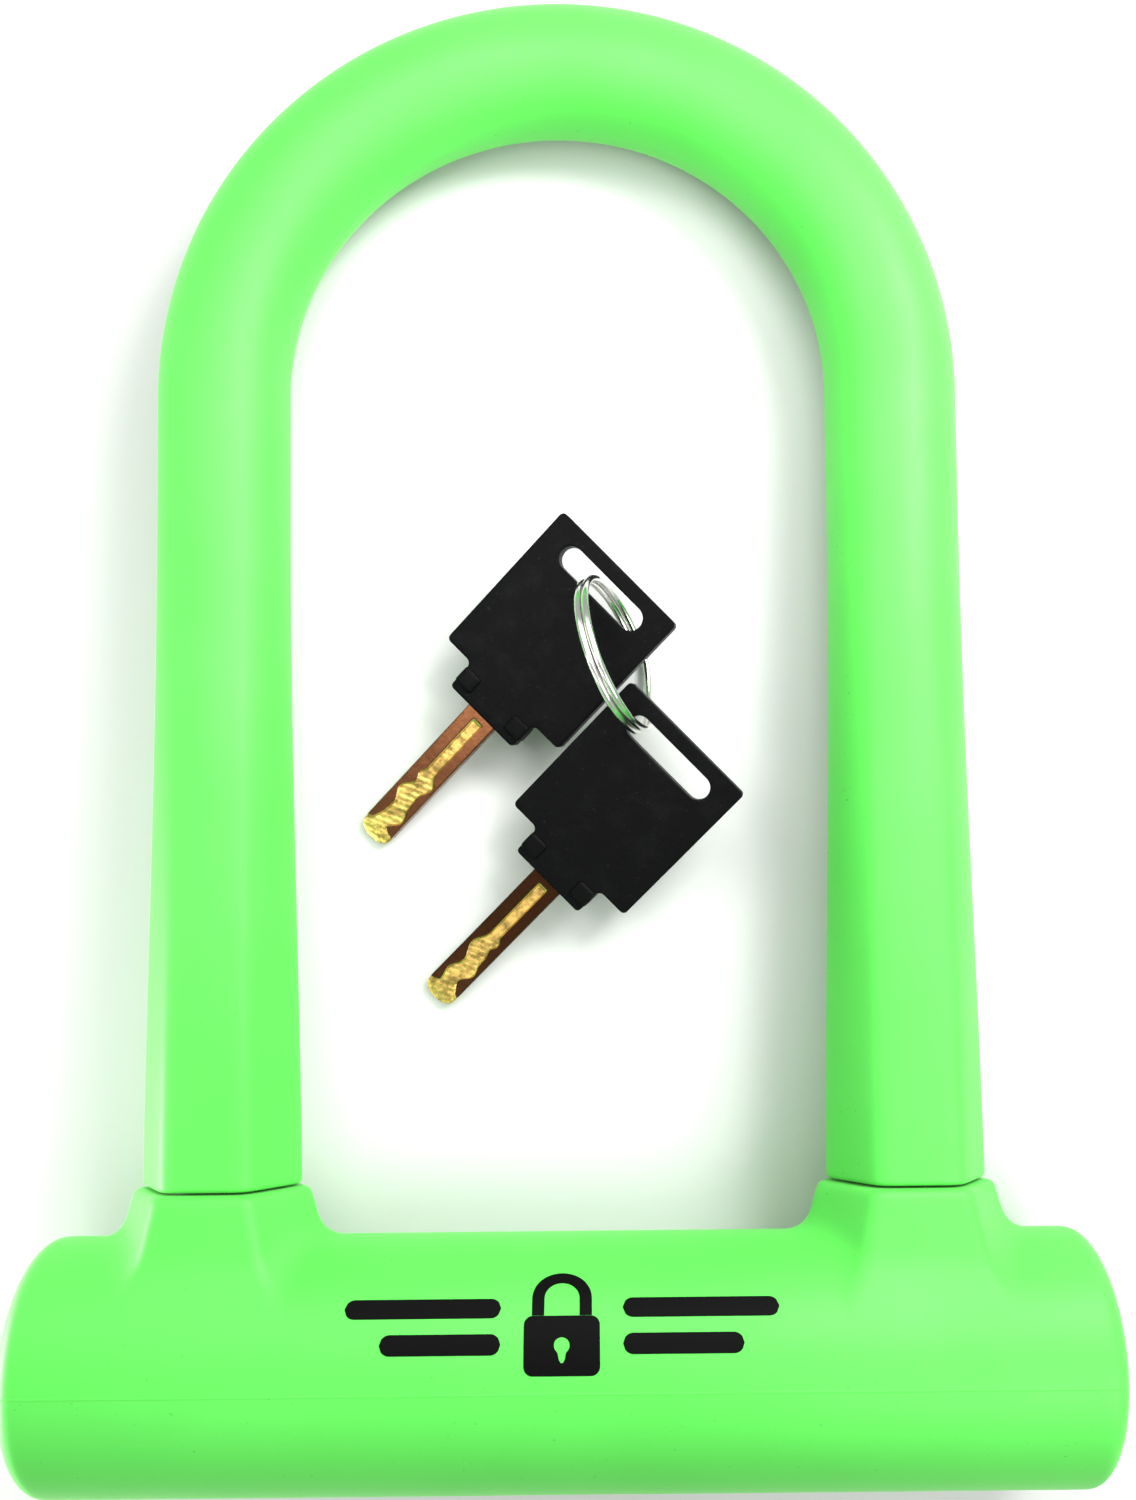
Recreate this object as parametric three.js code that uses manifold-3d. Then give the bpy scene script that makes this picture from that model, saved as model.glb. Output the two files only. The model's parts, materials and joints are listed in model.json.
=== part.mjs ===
// A compact U-lock with a moulded rubber skin, lying flat beside its two keys.
// Units are millimetres, +Z is up, +X runs along the crossbar and +Y from the crossbar to the bend.
import * as THREE from 'three';
import { mergeVertices } from 'three/addons/utils/BufferGeometryUtils.js';
import Module from 'manifold-3d';

const wasm = await Module();
wasm.setup();

// ---- driving dimensions -------------------------------------------------------------------
const GAP = 0.3; // clearance between neighbouring pieces

// crossbar
const BAR_RADIUS = 16.5;
const BAR_HALF_LENGTH = 69.9;
const DOME_LENGTH = 4.6; // how far the rounded end reaches along the bar
const DOME_POWER = 3; // 2 is an ellipse, higher is squarer
const TUBE_RADIUS = 14;
const TUBE_WALL = 2;
const TUBE_HALF_LENGTH = 62;
const END_PLUG_THICKNESS = 4.5;
const END_PIN_RADIUS = 1.5;

// collars that the shackle stands on
const SEAM_Y = 23; // top of the collars, from the bar axis
const COLLAR_ROOT_Y = 8;
const COLLAR_FLARE = 0.27; // growth of the section from the seam to the root

// shackle
const LEG_X = 45; // centre of each leg, and radius of the bend
const BEND_Y = 129; // centre of the bend, from the bar axis
const ROD_RADIUS = 6.5;
const ROD_END_Y = -8;
const SKIN_APEX_RADIUS = 8; // rubber over the middle of the bend
const SKIN_LEG_RADIUS = 8.7; // rubber where the bend meets the legs
const HEX_APOTHEM = 9.5; // flat of the hexagonal foot, from the leg axis
const HEX_TIP_RADIUS = 10.45; // rounded corner of the hexagonal foot
const HEX_CORNER_ANGLE = THREE.MathUtils.degToRad(9);
const FOOT_TOP_Y = 34; // the foot is a true prism up to here
const FLARE_TOP_Y = 112; // above this the leg is round
const FLARE_STEPS = 4;
const BEND_STEPS = 20;
const SKIN_SIDES = 24; // four to each side of the hexagon
const ROD_SIDES = 16;

// deadbolts and their drive
const BOLT_Y = 1.5;
const BOLT_RADIUS = 4.5;
const BOLT_TIP_X = 37.6; // with the bolt drawn back
const BOLT_ROOT_X = 13.5;
const NOTCH_FLOOR_X = 43.1;
const DRIVE_PIN_ORBIT = 3.6;
const DRIVE_PIN_RADIUS = 1.1;
const DRIVE_PIN_START = THREE.MathUtils.degToRad(-45);
const TAIL_BOTTOM_Y = 8.5;
const TAIL_TOP_Y = 10;
const TAIL_INNER_Z = 0.5;
const TAIL_OUTER_Z = 5.6;
const TAIL_END_X = -5.5;
const RISER_LENGTH = 3.5;
const TAIL_LAP = 1; // how far the tail runs into the bolt's root
const LEG_GUIDE_HALF_LENGTH = 10;
const BOLT_GUIDE_X = 27.5;
const BOLT_GUIDE_HALF_LENGTH = 4;

// key cylinder
const PLUG_RADIUS = 6;
const PLUG_NOSE_RADIUS = 4;
const PLUG_FACE_Y = -14.3;
const PLUG_SHOULDER_Y = -11.4;
const PLUG_END_Y = 6.6;
const KEYWAY_HALF_THICKNESS = 1.25;
const KEYWAY_HALF_WIDTH = 2.75;
const CLIP_Y = 5.2;
const CLIP_THICKNESS = 0.8;
const CLIP_GROOVE_RADIUS = 5.2;
const CLIP_RADIUS = 7.4;
const HOUSING_HALF_LENGTH = 11;
const HOUSING_TOP_Y = 4.9;
const HOUSING_PIN_X = 8.8;
const HOUSING_PIN_Y = -4;
const HOUSING_PIN_RADIUS = 1.25;
const CAM_BOTTOM_Y = 6.9;
const CAM_TOP_Y = 8.2;
const CAM_RADIUS = 5.6;
const CAM_PEG_X = 4;
const CAM_PEG_RADIUS = 0.7;
const CAM_PEG_LENGTH = 2.5; // below the cam, into the plug
const TUMBLER_COUNT = 5;
const TUMBLER_FIRST_Y = -9;
const TUMBLER_PITCH = 3;
const TUMBLER_THICKNESS = 1;
const TUMBLER_HALF_X = 2.6;
const TUMBLER_HALF_Z = 4.8;

// bezel and dust cover under the crossbar's lower edge
const BEZEL_FACE_Y = -15.2;
const BEZEL_HALF_LENGTH = 13;
const BEZEL_HALF_WIDTH = 6;
const BEZEL_NECK_RADIUS = 5.9;
const KEYHOLE_RADIUS = 3.2;
const COVER_THICKNESS = 0.5;
const COVER_RADIUS = 3.7;
const COVER_PIVOT_Z = -5.1;
const COVER_PIVOT_RADIUS = 0.85;
const COVER_PIN_RADIUS = 0.4;
const COVER_PIN_HEAD = 0.3; // how thick the pin's head is
const COVER_PIN_DEPTH = 2.4; // how deep the pin sits in the bezel

// keys
const HEAD_WIDTH = 21.5;
const HEAD_LENGTH = 23.2;
const HEAD_THICKNESS = 3;
const HEAD_CORNER = 0.8;
const SLOT_EDGE_DISTANCE = 3.7; // slot centreline to the head's far edge
const SLOT_LENGTH = 14.6;
const SLOT_WIDTH = 3.3;
const COLLAR_WIDTH = 12;
const COLLAR_LENGTH = 4.3;
const BLADE_WIDTH = 4.9;
const BLADE_THICKNESS = 2;
const BLADE_LENGTH = 23.6;
const TANG_LENGTH = 12;
const TRACK_DEPTH = 0.5;
const TRACK_HALF_WIDTH = 1;

// split ring and how the keys hang on it
const RING_RADIUS = 10.6; // centre of the wire
const WIRE_RADIUS = 0.5;
const COIL_PITCH = 1.06; // from one turn to the next
const COIL_JOG = THREE.MathUtils.degToRad(25); // half of the arc in which the wire changes turns
const COIL_JOG_AT = THREE.MathUtils.degToRad(250);
const COIL_STEPS = 64;
const RING_CENTRE = new THREE.Vector3(7.8, 93.4, 10.85); // from the bar axis, above the table
const RING_AXIS_AZIMUTH = THREE.MathUtils.degToRad(17.3);
const RING_AXIS_RISE = THREE.MathUtils.degToRad(20.5);
const KEY_AZIMUTH = THREE.MathUtils.degToRad(224.3);
const KEY_PITCH = THREE.MathUtils.degToRad(11.9);
const KEY_SHIFTS = { key_1: 1.7, key_2: 5.3 }; // slot centre from the ring, along the slot

// ---- values worked out from them ----------------------------------------------------------
const LEAN = Math.asin((BAR_RADIUS - SKIN_APEX_RADIUS) / (BEND_Y + LEG_X));
const TUBE_BORE = TUBE_RADIUS - TUBE_WALL;
const INSERT_RADIUS = TUBE_BORE - GAP;
const SLEEVE_BORE = TUBE_RADIUS + GAP;
const LEG_BORE = ROD_RADIUS + GAP;
const SLOT_REACH = (SLOT_LENGTH - SLOT_WIDTH) / 2; // centre of the slot's round ends
const HEAD_END_X = HEAD_LENGTH - SLOT_EDGE_DISTANCE; // in the key's own frame
const COLLAR_END_X = HEAD_END_X + COLLAR_LENGTH;
const END_PIN_X = TUBE_HALF_LENGTH - GAP - END_PLUG_THICKNESS / 2;
const COVER_FACE_Y = BEZEL_FACE_Y - GAP - COVER_THICKNESS;
const FAR = 80; // longer than any cut needs
const LAP = 1; // how far joined or cut shapes run past each other
const TINY = 1e-6;

// ---- colours ------------------------------------------------------------------------------
const NEON_RUBBER = { color: 0x6ff564, roughness: 0.62, metalness: 0 };
const STEEL = { color: 0xb9bcc0, roughness: 0.32, metalness: 1 };
const DARK_STEEL = { color: 0x6f7276, roughness: 0.4, metalness: 1 };
const ZINC = { color: 0x9b9da1, roughness: 0.5, metalness: 0.9 };
const BRASS = { color: 0xc9a24a, roughness: 0.35, metalness: 1 };
const BLACK_PLASTIC = { color: 0x121214, roughness: 0.5, metalness: 0 };

// ---- helpers ------------------------------------------------------------------------------
function toSolid(geometry) {
  const bare = geometry.clone();
  bare.deleteAttribute('normal');
  bare.deleteAttribute('uv');
  const merged = mergeVertices(bare, 1e-4);
  return new wasm.Manifold(new wasm.Mesh({
    numProp: 3,
    vertProperties: new Float32Array(merged.attributes.position.array),
    triVerts: new Uint32Array(merged.index.array),
  }));
}

function toGeometry(manifold) {
  const mesh = manifold.getMesh();
  const geometry = new THREE.BufferGeometry();
  geometry.setAttribute('position', new THREE.BufferAttribute(mesh.vertProperties, 3));
  geometry.setIndex(new THREE.BufferAttribute(mesh.triVerts, 1));
  geometry.computeVertexNormals();
  return geometry;
}

function shape(body, { add = [], cut = [] }) {
  let result = toSolid(body);
  for (const piece of add) {
    result = result.add(toSolid(piece));
  }
  for (const piece of cut) {
    result = result.subtract(toSolid(piece));
  }
  return toGeometry(result);
}

function makeMesh(name, geometry, look) {
  const mesh = new THREE.Mesh(geometry, new THREE.MeshStandardMaterial(look));
  mesh.name = name;
  return mesh;
}

// a round bar between two stations along X, Y or Z; centre gives the other two coordinates
function rod(axis, from, to, radius, centre = [0, 0], sides = 20) {
  const geometry = new THREE.CylinderGeometry(radius, radius, to - from, sides);
  const middle = (from + to) / 2;
  if (axis === 'x') {
    return geometry.rotateZ(-Math.PI / 2).translate(middle, centre[0], centre[1]);
  }
  if (axis === 'y') {
    return geometry.translate(centre[0], middle, centre[1]);
  }
  return geometry.rotateX(Math.PI / 2).translate(centre[0], centre[1], middle);
}

function block([x0, x1], [y0, y1], [z0, z1]) {
  const geometry = new THREE.BoxGeometry(x1 - x0, y1 - y0, z1 - z0);
  return geometry.translate((x0 + x1) / 2, (y0 + y1) / 2, (z0 + z1) / 2);
}

// two half circles joined by straight lines, drawn in a plane
function slotOutline(length, radius) {
  const reach = length / 2 - radius;
  const outline = new THREE.Shape();
  outline.absarc(reach, 0, radius, -Math.PI / 2, Math.PI / 2);
  outline.absarc(-reach, 0, radius, Math.PI / 2, 1.5 * Math.PI);
  return outline;
}

// an outline drawn in X and Z, raised along Y between two stations
function extrudeAlongY(outline, from, to, curveSegments = 8) {
  const settings = { depth: to - from, bevelEnabled: false, curveSegments };
  const geometry = new THREE.ExtrudeGeometry(outline, settings);
  return geometry.rotateX(Math.PI / 2).translate(0, to, 0);
}

// a path that passes through the given stations, one per step of the sweep
class StationCurve extends THREE.Curve {
  constructor(stations) {
    super();
    this.stations = stations;
  }

  station(u) {
    return this.stations[Math.round(u * (this.stations.length - 1))];
  }

  getPoint(t, target = new THREE.Vector3()) {
    return target.copy(this.station(t).point);
  }

  getPointAt(u, target) {
    return this.getPoint(u, target);
  }

  getTangentAt(u, target = new THREE.Vector3()) {
    return target.copy(this.station(u).tangent);
  }
}

// a regular polygon; an arc gives two points for each of its divisions
function ringOutline(radius, sides) {
  const arc = new THREE.Path().absarc(0, 0, radius, 0, 2 * Math.PI);
  return new THREE.Shape(arc.getPoints(sides / 2));
}

function sweep(stations, radius, sides) {
  const outline = ringOutline(radius, sides);
  const path = new StationCurve(stations);
  return new THREE.ExtrudeGeometry(outline, { steps: stations.length - 1, extrudePath: path });
}

// ---- the shackle's line and section -------------------------------------------------------
function shackleStations(legHeights, bendSteps) {
  const up = new THREE.Vector3(0, 1, 0);
  const left = legHeights.map((y) => ({ point: new THREE.Vector3(-LEG_X, y, 0), tangent: up }));
  const bend = Array.from({ length: bendSteps + 1 }, (_, step) => {
    const angle = Math.PI * (1 - step / bendSteps);
    const point = new THREE.Vector3(LEG_X * Math.cos(angle), BEND_Y + LEG_X * Math.sin(angle), 0);
    return { point, tangent: new THREE.Vector3(Math.sin(angle), -Math.cos(angle), 0) };
  });
  const down = up.clone().negate();
  const falling = [...legHeights].reverse();
  const right = falling.map((y) => ({ point: new THREE.Vector3(LEG_X, y, 0), tangent: down }));
  return [...left, ...bend, ...right];
}

// centre of the nearest section, the outward direction there, and the height up the leg
function shackleFrame(x, y) {
  if (y <= BEND_Y) {
    const side = Math.sign(x);
    return { centre: [side * LEG_X, y], outward: [side, 0], height: y, climb: 0 };
  }
  const angle = Math.atan2(y - BEND_Y, x);
  const outward = [Math.cos(angle), Math.sin(angle)];
  const centre = [LEG_X * outward[0], BEND_Y + LEG_X * outward[1]];
  return { centre, outward, height: y, climb: outward[1] };
}

// polar radius of the rubber: a rounded hexagon at the foot that eases into a circle
function skinSection(angle, height, climb) {
  const sector = Math.PI / 3;
  const within = ((angle % sector) + sector) % sector;
  const quarter = Math.round(within / (sector / 4)) % 4;
  const turned = [0, HEX_CORNER_ANGLE, sector / 2, sector - HEX_CORNER_ANGLE][quarter];
  const even = (quarter * sector) / 4;
  const ease = THREE.MathUtils.smoothstep(height, FOOT_TOP_Y, FLARE_TOP_Y);
  const round = THREE.MathUtils.lerp(SKIN_LEG_RADIUS, SKIN_APEX_RADIUS, climb);
  const flat = quarter === 0 ? HEX_TIP_RADIUS : HEX_APOTHEM / Math.cos(turned - sector / 2);
  return {
    angle: angle + (turned - even) * (1 - ease),
    radius: THREE.MathUtils.lerp(flat, round, ease),
  };
}

function reshapeSkin(geometry, grow = () => 1) {
  const position = geometry.attributes.position;
  for (let index = 0; index < position.count; index += 1) {
    const [x, y, z] = [position.getX(index), position.getY(index), position.getZ(index)];
    const frame = shackleFrame(x, y);
    const offset = [x - frame.centre[0], y - frame.centre[1]];
    const across = offset[0] * frame.outward[0] + offset[1] * frame.outward[1];
    if (Math.hypot(across, z) > TINY) {
      const section = skinSection(Math.atan2(z, across), frame.height, frame.climb);
      const radius = section.radius * grow(y);
      const reach = radius * Math.cos(section.angle);
      position.setXYZ(
        index,
        frame.centre[0] + reach * frame.outward[0],
        frame.centre[1] + reach * frame.outward[1],
        radius * Math.sin(section.angle),
      );
    }
  }
  return geometry;
}

// ---- crossbar -----------------------------------------------------------------------------
function domeProfile(steps) {
  const points = [];
  for (let step = 0; step <= steps; step += 1) {
    const turn = (step / steps) * (Math.PI / 2);
    const along = Math.cos(turn) ** (2 / DOME_POWER);
    const across = Math.sin(turn) ** (2 / DOME_POWER);
    points.push(new THREE.Vector2(BAR_RADIUS * across, BAR_HALF_LENGTH - DOME_LENGTH * (1 - along)));
  }
  return points;
}

function collarSolid(side) {
  const tangent = new THREE.Vector3(0, 1, 0);
  const station = (y) => ({ point: new THREE.Vector3(side * LEG_X, y, 0), tangent });
  const blank = sweep([station(COLLAR_ROOT_Y), station(SEAM_Y)], HEX_APOTHEM, SKIN_SIDES);
  const grow = (y) => 1 + (COLLAR_FLARE * (SEAM_Y - y)) / (SEAM_Y - COLLAR_ROOT_Y);
  return reshapeSkin(blank, grow);
}

function crossbarSleeve() {
  const dome = domeProfile(7);
  const mirrored = dome.map((point) => new THREE.Vector2(point.x, -point.y)).reverse();
  const body = new THREE.LatheGeometry([...dome, ...mirrored].reverse(), 40).rotateZ(-Math.PI / 2);
  const window = slotOutline(2 * (BEZEL_HALF_LENGTH + GAP), BEZEL_HALF_WIDTH + GAP);
  return shape(body, {
    add: [collarSolid(-1), collarSolid(1)],
    cut: [
      rod('x', -TUBE_HALF_LENGTH - GAP, TUBE_HALF_LENGTH + GAP, SLEEVE_BORE, [0, 0], 32),
      rod('y', 0, FAR, LEG_BORE, [-LEG_X, 0]),
      rod('y', 0, FAR, LEG_BORE, [LEG_X, 0]),
      extrudeAlongY(window, -FAR, 0),
    ],
  });
}

function lockTube() {
  const pinHole = END_PIN_RADIUS + GAP;
  const housingHole = HOUSING_PIN_RADIUS + GAP;
  const cut = [rod('x', -FAR, FAR, TUBE_BORE, [0, 0], 32)];
  for (const side of [-1, 1]) {
    cut.push(rod('y', 0, FAR, LEG_BORE, [side * LEG_X, 0]));
    cut.push(rod('z', -FAR, FAR, pinHole, [side * END_PIN_X, 0], 12));
    cut.push(rod('z', -FAR, FAR, housingHole, [side * HOUSING_PIN_X, HOUSING_PIN_Y], 12));
  }
  cut.push(rod('y', -FAR, 0, BEZEL_NECK_RADIUS + GAP));
  return shape(rod('x', -TUBE_HALF_LENGTH, TUBE_HALF_LENGTH, TUBE_RADIUS, [0, 0], 32), { cut });
}

function endPlug(side) {
  const outer = TUBE_HALF_LENGTH - GAP;
  const inner = outer - END_PLUG_THICKNESS;
  const [from, to] = side > 0 ? [inner, outer] : [-outer, -inner];
  const hole = rod('z', -FAR, FAR, END_PIN_RADIUS + GAP, [(from + to) / 2, 0], 12);
  return shape(rod('x', from, to, INSERT_RADIUS, [0, 0], 32), { cut: [hole] });
}

function endPin(side) {
  return rod('z', -TUBE_RADIUS, TUBE_RADIUS, END_PIN_RADIUS, [side * END_PIN_X, 0], 12);
}

function legGuide(side) {
  const from = side * LEG_X - LEG_GUIDE_HALF_LENGTH;
  const body = rod('x', from, from + 2 * LEG_GUIDE_HALF_LENGTH, INSERT_RADIUS, [0, 0], 32);
  const boltHole = side > 0 ? [0, LEG_X] : [-LEG_X, 0];
  return shape(body, {
    cut: [
      rod('y', ROD_END_Y - GAP, FAR, LEG_BORE, [side * LEG_X, 0]),
      rod('x', boltHole[0], boltHole[1], BOLT_RADIUS + GAP, [BOLT_Y, 0]),
    ],
  });
}

function boltGuide(side) {
  const from = side * BOLT_GUIDE_X - BOLT_GUIDE_HALF_LENGTH;
  const body = rod('x', from, from + 2 * BOLT_GUIDE_HALF_LENGTH, INSERT_RADIUS, [0, 0], 32);
  return shape(body, { cut: [rod('x', -FAR, FAR, BOLT_RADIUS + GAP, [BOLT_Y, 0])] });
}

function cylinderHousing() {
  const body = rod('x', -HOUSING_HALF_LENGTH, HOUSING_HALF_LENGTH, INSERT_RADIUS, [0, 0], 32);
  const cut = [
    rod('y', -FAR, FAR, PLUG_RADIUS + GAP),
    block([-FAR, FAR], [HOUSING_TOP_Y, FAR], [-FAR, FAR]),
  ];
  for (const side of [-1, 1]) {
    const centre = [side * HOUSING_PIN_X, HOUSING_PIN_Y];
    cut.push(rod('z', -FAR, FAR, HOUSING_PIN_RADIUS + GAP, centre, 12));
  }
  return shape(body, { cut });
}

function housingPin(side) {
  const reach = Math.sqrt(TUBE_RADIUS ** 2 - HOUSING_PIN_Y ** 2) - HOUSING_PIN_RADIUS / 2;
  return rod('z', -reach, reach, HOUSING_PIN_RADIUS, [side * HOUSING_PIN_X, HOUSING_PIN_Y], 12);
}

function keyholeBezel() {
  const plate = extrudeAlongY(slotOutline(2 * BEZEL_HALF_LENGTH, BEZEL_HALF_WIDTH), BEZEL_FACE_Y, 0);
  const backOfPlate = toSolid(rod('x', -FAR, FAR, SLEEVE_BORE, [0, 0], 32));
  const neck = toSolid(rod('y', BEZEL_FACE_Y + GAP, -INSERT_RADIUS - GAP, BEZEL_NECK_RADIUS));
  const holes = [
    rod('y', BEZEL_FACE_Y + 2 * GAP, FAR, PLUG_NOSE_RADIUS + GAP),
    rod('y', -FAR, FAR, KEYHOLE_RADIUS),
    rod('y', -FAR, COVER_FACE_Y + COVER_PIN_DEPTH + GAP, COVER_PIN_RADIUS + GAP, [0, COVER_PIVOT_Z], 12),
  ];
  let bezel = toSolid(plate).subtract(backOfPlate).add(neck);
  for (const hole of holes) {
    bezel = bezel.subtract(toSolid(hole));
  }
  return toGeometry(bezel);
}

// ---- dust cover ---------------------------------------------------------------------------
// a disc over the keyhole that narrows to a round tail at the pivot
function coverOutline() {
  const outline = new THREE.Shape();
  outline.absarc(0, 0, COVER_RADIUS, 0, Math.PI);
  outline.absarc(0, COVER_PIVOT_Z, COVER_PIVOT_RADIUS, Math.PI, 2 * Math.PI);
  return outline;
}

function dustCover() {
  const plate = extrudeAlongY(coverOutline(), COVER_FACE_Y, COVER_FACE_Y + COVER_THICKNESS);
  const hole = rod('y', -FAR, 0, COVER_PIN_RADIUS + GAP / 2, [0, COVER_PIVOT_Z], 12);
  return shape(plate, { cut: [hole] });
}

function dustCoverPin() {
  const under = COVER_FACE_Y - GAP / 2;
  const centre = [0, COVER_PIVOT_Z];
  const shank = rod('y', under, COVER_FACE_Y + COVER_PIN_DEPTH, COVER_PIN_RADIUS, centre, 12);
  const head = rod('y', under - COVER_PIN_HEAD, under, 2 * COVER_PIN_RADIUS, centre, 12);
  return shape(shank, { add: [head] });
}

// ---- plug, tumblers, cam and bolts ----------------------------------------------------------
function keyway(from, to) {
  const thickness = [-KEYWAY_HALF_THICKNESS, KEYWAY_HALF_THICKNESS];
  return block(thickness, [from, to], [-KEYWAY_HALF_WIDTH, KEYWAY_HALF_WIDTH]);
}

function tumblerY(index) {
  return TUMBLER_FIRST_Y + index * TUMBLER_PITCH;
}

function cylinderPlug() {
  const body = rod('y', PLUG_SHOULDER_Y, PLUG_END_Y, PLUG_RADIUS);
  const nose = rod('y', PLUG_FACE_Y, PLUG_SHOULDER_Y + LAP, PLUG_NOSE_RADIUS);
  const grooveEdge = rod('y', CLIP_Y - GAP / 2, CLIP_Y + CLIP_THICKNESS + GAP / 2, PLUG_RADIUS + LAP);
  const grooveCore = rod('y', CLIP_Y - LAP, CLIP_Y + CLIP_THICKNESS + LAP, CLIP_GROOVE_RADIUS);
  const cut = [keyway(-FAR, FAR)];
  for (let index = 0; index < TUMBLER_COUNT; index += 1) {
    const middle = tumblerY(index);
    const half = TUMBLER_THICKNESS / 2 + GAP;
    const sideways = TUMBLER_HALF_X + GAP;
    cut.push(block([-sideways, sideways], [middle - half, middle + half], [-FAR, FAR]));
  }
  for (const side of [-1, 1]) {
    const bottom = CAM_BOTTOM_Y - CAM_PEG_LENGTH - GAP;
    cut.push(rod('y', bottom, FAR, CAM_PEG_RADIUS + GAP, [side * CAM_PEG_X, 0], 12));
  }
  let plug = toSolid(body).add(toSolid(nose));
  plug = plug.subtract(toSolid(grooveEdge).subtract(toSolid(grooveCore)));
  for (const piece of cut) {
    plug = plug.subtract(toSolid(piece));
  }
  return toGeometry(plug);
}

function tumbler(index) {
  const middle = tumblerY(index);
  const half = TUMBLER_THICKNESS / 2;
  const plate = block([-TUMBLER_HALF_X, TUMBLER_HALF_X], [middle - half, middle + half],
    [-TUMBLER_HALF_Z, TUMBLER_HALF_Z]);
  return shape(plate, { cut: [keyway(middle - LAP, middle + LAP)] });
}

function camClip() {
  const outer = rod('y', CLIP_Y, CLIP_Y + CLIP_THICKNESS, CLIP_RADIUS);
  const bore = rod('y', CLIP_Y - LAP, CLIP_Y + CLIP_THICKNESS + LAP, CLIP_GROOVE_RADIUS + GAP);
  const mouth = block([-CLIP_GROOVE_RADIUS / 2, CLIP_GROOVE_RADIUS / 2], [0, FAR], [-FAR, 0]);
  return shape(outer, { cut: [bore, mouth] });
}

function driveCam() {
  const add = [];
  for (const start of [DRIVE_PIN_START, DRIVE_PIN_START + Math.PI]) {
    const centre = [DRIVE_PIN_ORBIT * Math.sin(start), DRIVE_PIN_ORBIT * Math.cos(start)];
    add.push(rod('y', CAM_TOP_Y, TAIL_TOP_Y + GAP, DRIVE_PIN_RADIUS, centre, 16));
  }
  for (const side of [-1, 1]) {
    const centre = [side * CAM_PEG_X, 0];
    add.push(rod('y', CAM_BOTTOM_Y - CAM_PEG_LENGTH, CAM_BOTTOM_Y, CAM_PEG_RADIUS, centre, 12));
  }
  const cut = [keyway(CAM_BOTTOM_Y - LAP, CAM_TOP_Y)];
  return shape(rod('y', CAM_BOTTOM_Y, CAM_TOP_Y, CAM_RADIUS), { add, cut });
}

// the right-hand bolt; the left-hand one is the same piece turned half a turn about Y
function deadbolt() {
  const tailZ = [TAIL_INNER_Z, TAIL_OUTER_Z];
  const pinX = DRIVE_PIN_ORBIT * Math.sin(DRIVE_PIN_START);
  const slotHalf = DRIVE_PIN_RADIUS + GAP;
  const nearZ = DRIVE_PIN_ORBIT * Math.cos(DRIVE_PIN_START) - slotHalf;
  const farZ = DRIVE_PIN_ORBIT + slotHalf;
  const slot = block([pinX - slotHalf, pinX + slotHalf], [0, FAR], [nearZ, farZ]);
  const riser = block([BOLT_ROOT_X, BOLT_ROOT_X + RISER_LENGTH], [BOLT_Y, TAIL_TOP_Y], tailZ);
  const tail = block([TAIL_END_X, BOLT_ROOT_X + TAIL_LAP], [TAIL_BOTTOM_Y, TAIL_TOP_Y], tailZ);
  const body = rod('x', BOLT_ROOT_X, BOLT_TIP_X, BOLT_RADIUS, [BOLT_Y, 0]);
  return shape(body, { add: [riser, tail], cut: [slot] });
}

// ---- shackle ------------------------------------------------------------------------------
function shackleRod() {
  const heights = [ROD_END_Y, SEAM_Y, BEND_Y / 2];
  const blank = sweep(shackleStations(heights, BEND_STEPS), ROD_RADIUS, ROD_SIDES);
  const notch = BOLT_RADIUS + GAP;
  const cut = [-1, 1].map((side) => {
    const reach = [side * NOTCH_FLOOR_X, side * (LEG_X - ROD_RADIUS - LAP)].sort((a, b) => a - b);
    return block(reach, [BOLT_Y - notch, BOLT_Y + notch], [-FAR, FAR]);
  });
  return shape(blank, { cut });
}

function shackleSleeve() {
  const heights = [SEAM_Y + GAP];
  for (let step = 0; step <= FLARE_STEPS; step += 1) {
    heights.push(THREE.MathUtils.lerp(FOOT_TOP_Y, FLARE_TOP_Y, step / FLARE_STEPS));
  }
  const blank = sweep(shackleStations(heights, BEND_STEPS), SKIN_LEG_RADIUS, SKIN_SIDES);
  const bore = sweep(shackleStations([0, BEND_Y / 2], BEND_STEPS), LEG_BORE, ROD_SIDES);
  return shape(reshapeSkin(blank), { cut: [bore] });
}

// ---- keys and ring ------------------------------------------------------------------------
// a key lies in its own XY plane: the slot's centre is the origin and the blade points along +X
function headOutline() {
  const [x0, x1] = [-SLOT_EDGE_DISTANCE, HEAD_END_X];
  const half = HEAD_WIDTH / 2;
  const collar = COLLAR_WIDTH / 2;
  const outline = new THREE.Shape();
  outline.moveTo(x0 + HEAD_CORNER, -half);
  outline.lineTo(x1 - HEAD_CORNER, -half);
  outline.quadraticCurveTo(x1, -half, x1, -half + HEAD_CORNER);
  outline.lineTo(x1, -collar);
  outline.lineTo(COLLAR_END_X, -collar);
  outline.lineTo(COLLAR_END_X, collar);
  outline.lineTo(x1, collar);
  outline.lineTo(x1, half - HEAD_CORNER);
  outline.quadraticCurveTo(x1, half, x1 - HEAD_CORNER, half);
  outline.lineTo(x0 + HEAD_CORNER, half);
  outline.quadraticCurveTo(x0, half, x0, half - HEAD_CORNER);
  outline.lineTo(x0, -half + HEAD_CORNER);
  outline.quadraticCurveTo(x0, -half, x0 + HEAD_CORNER, -half);
  return outline;
}

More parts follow.
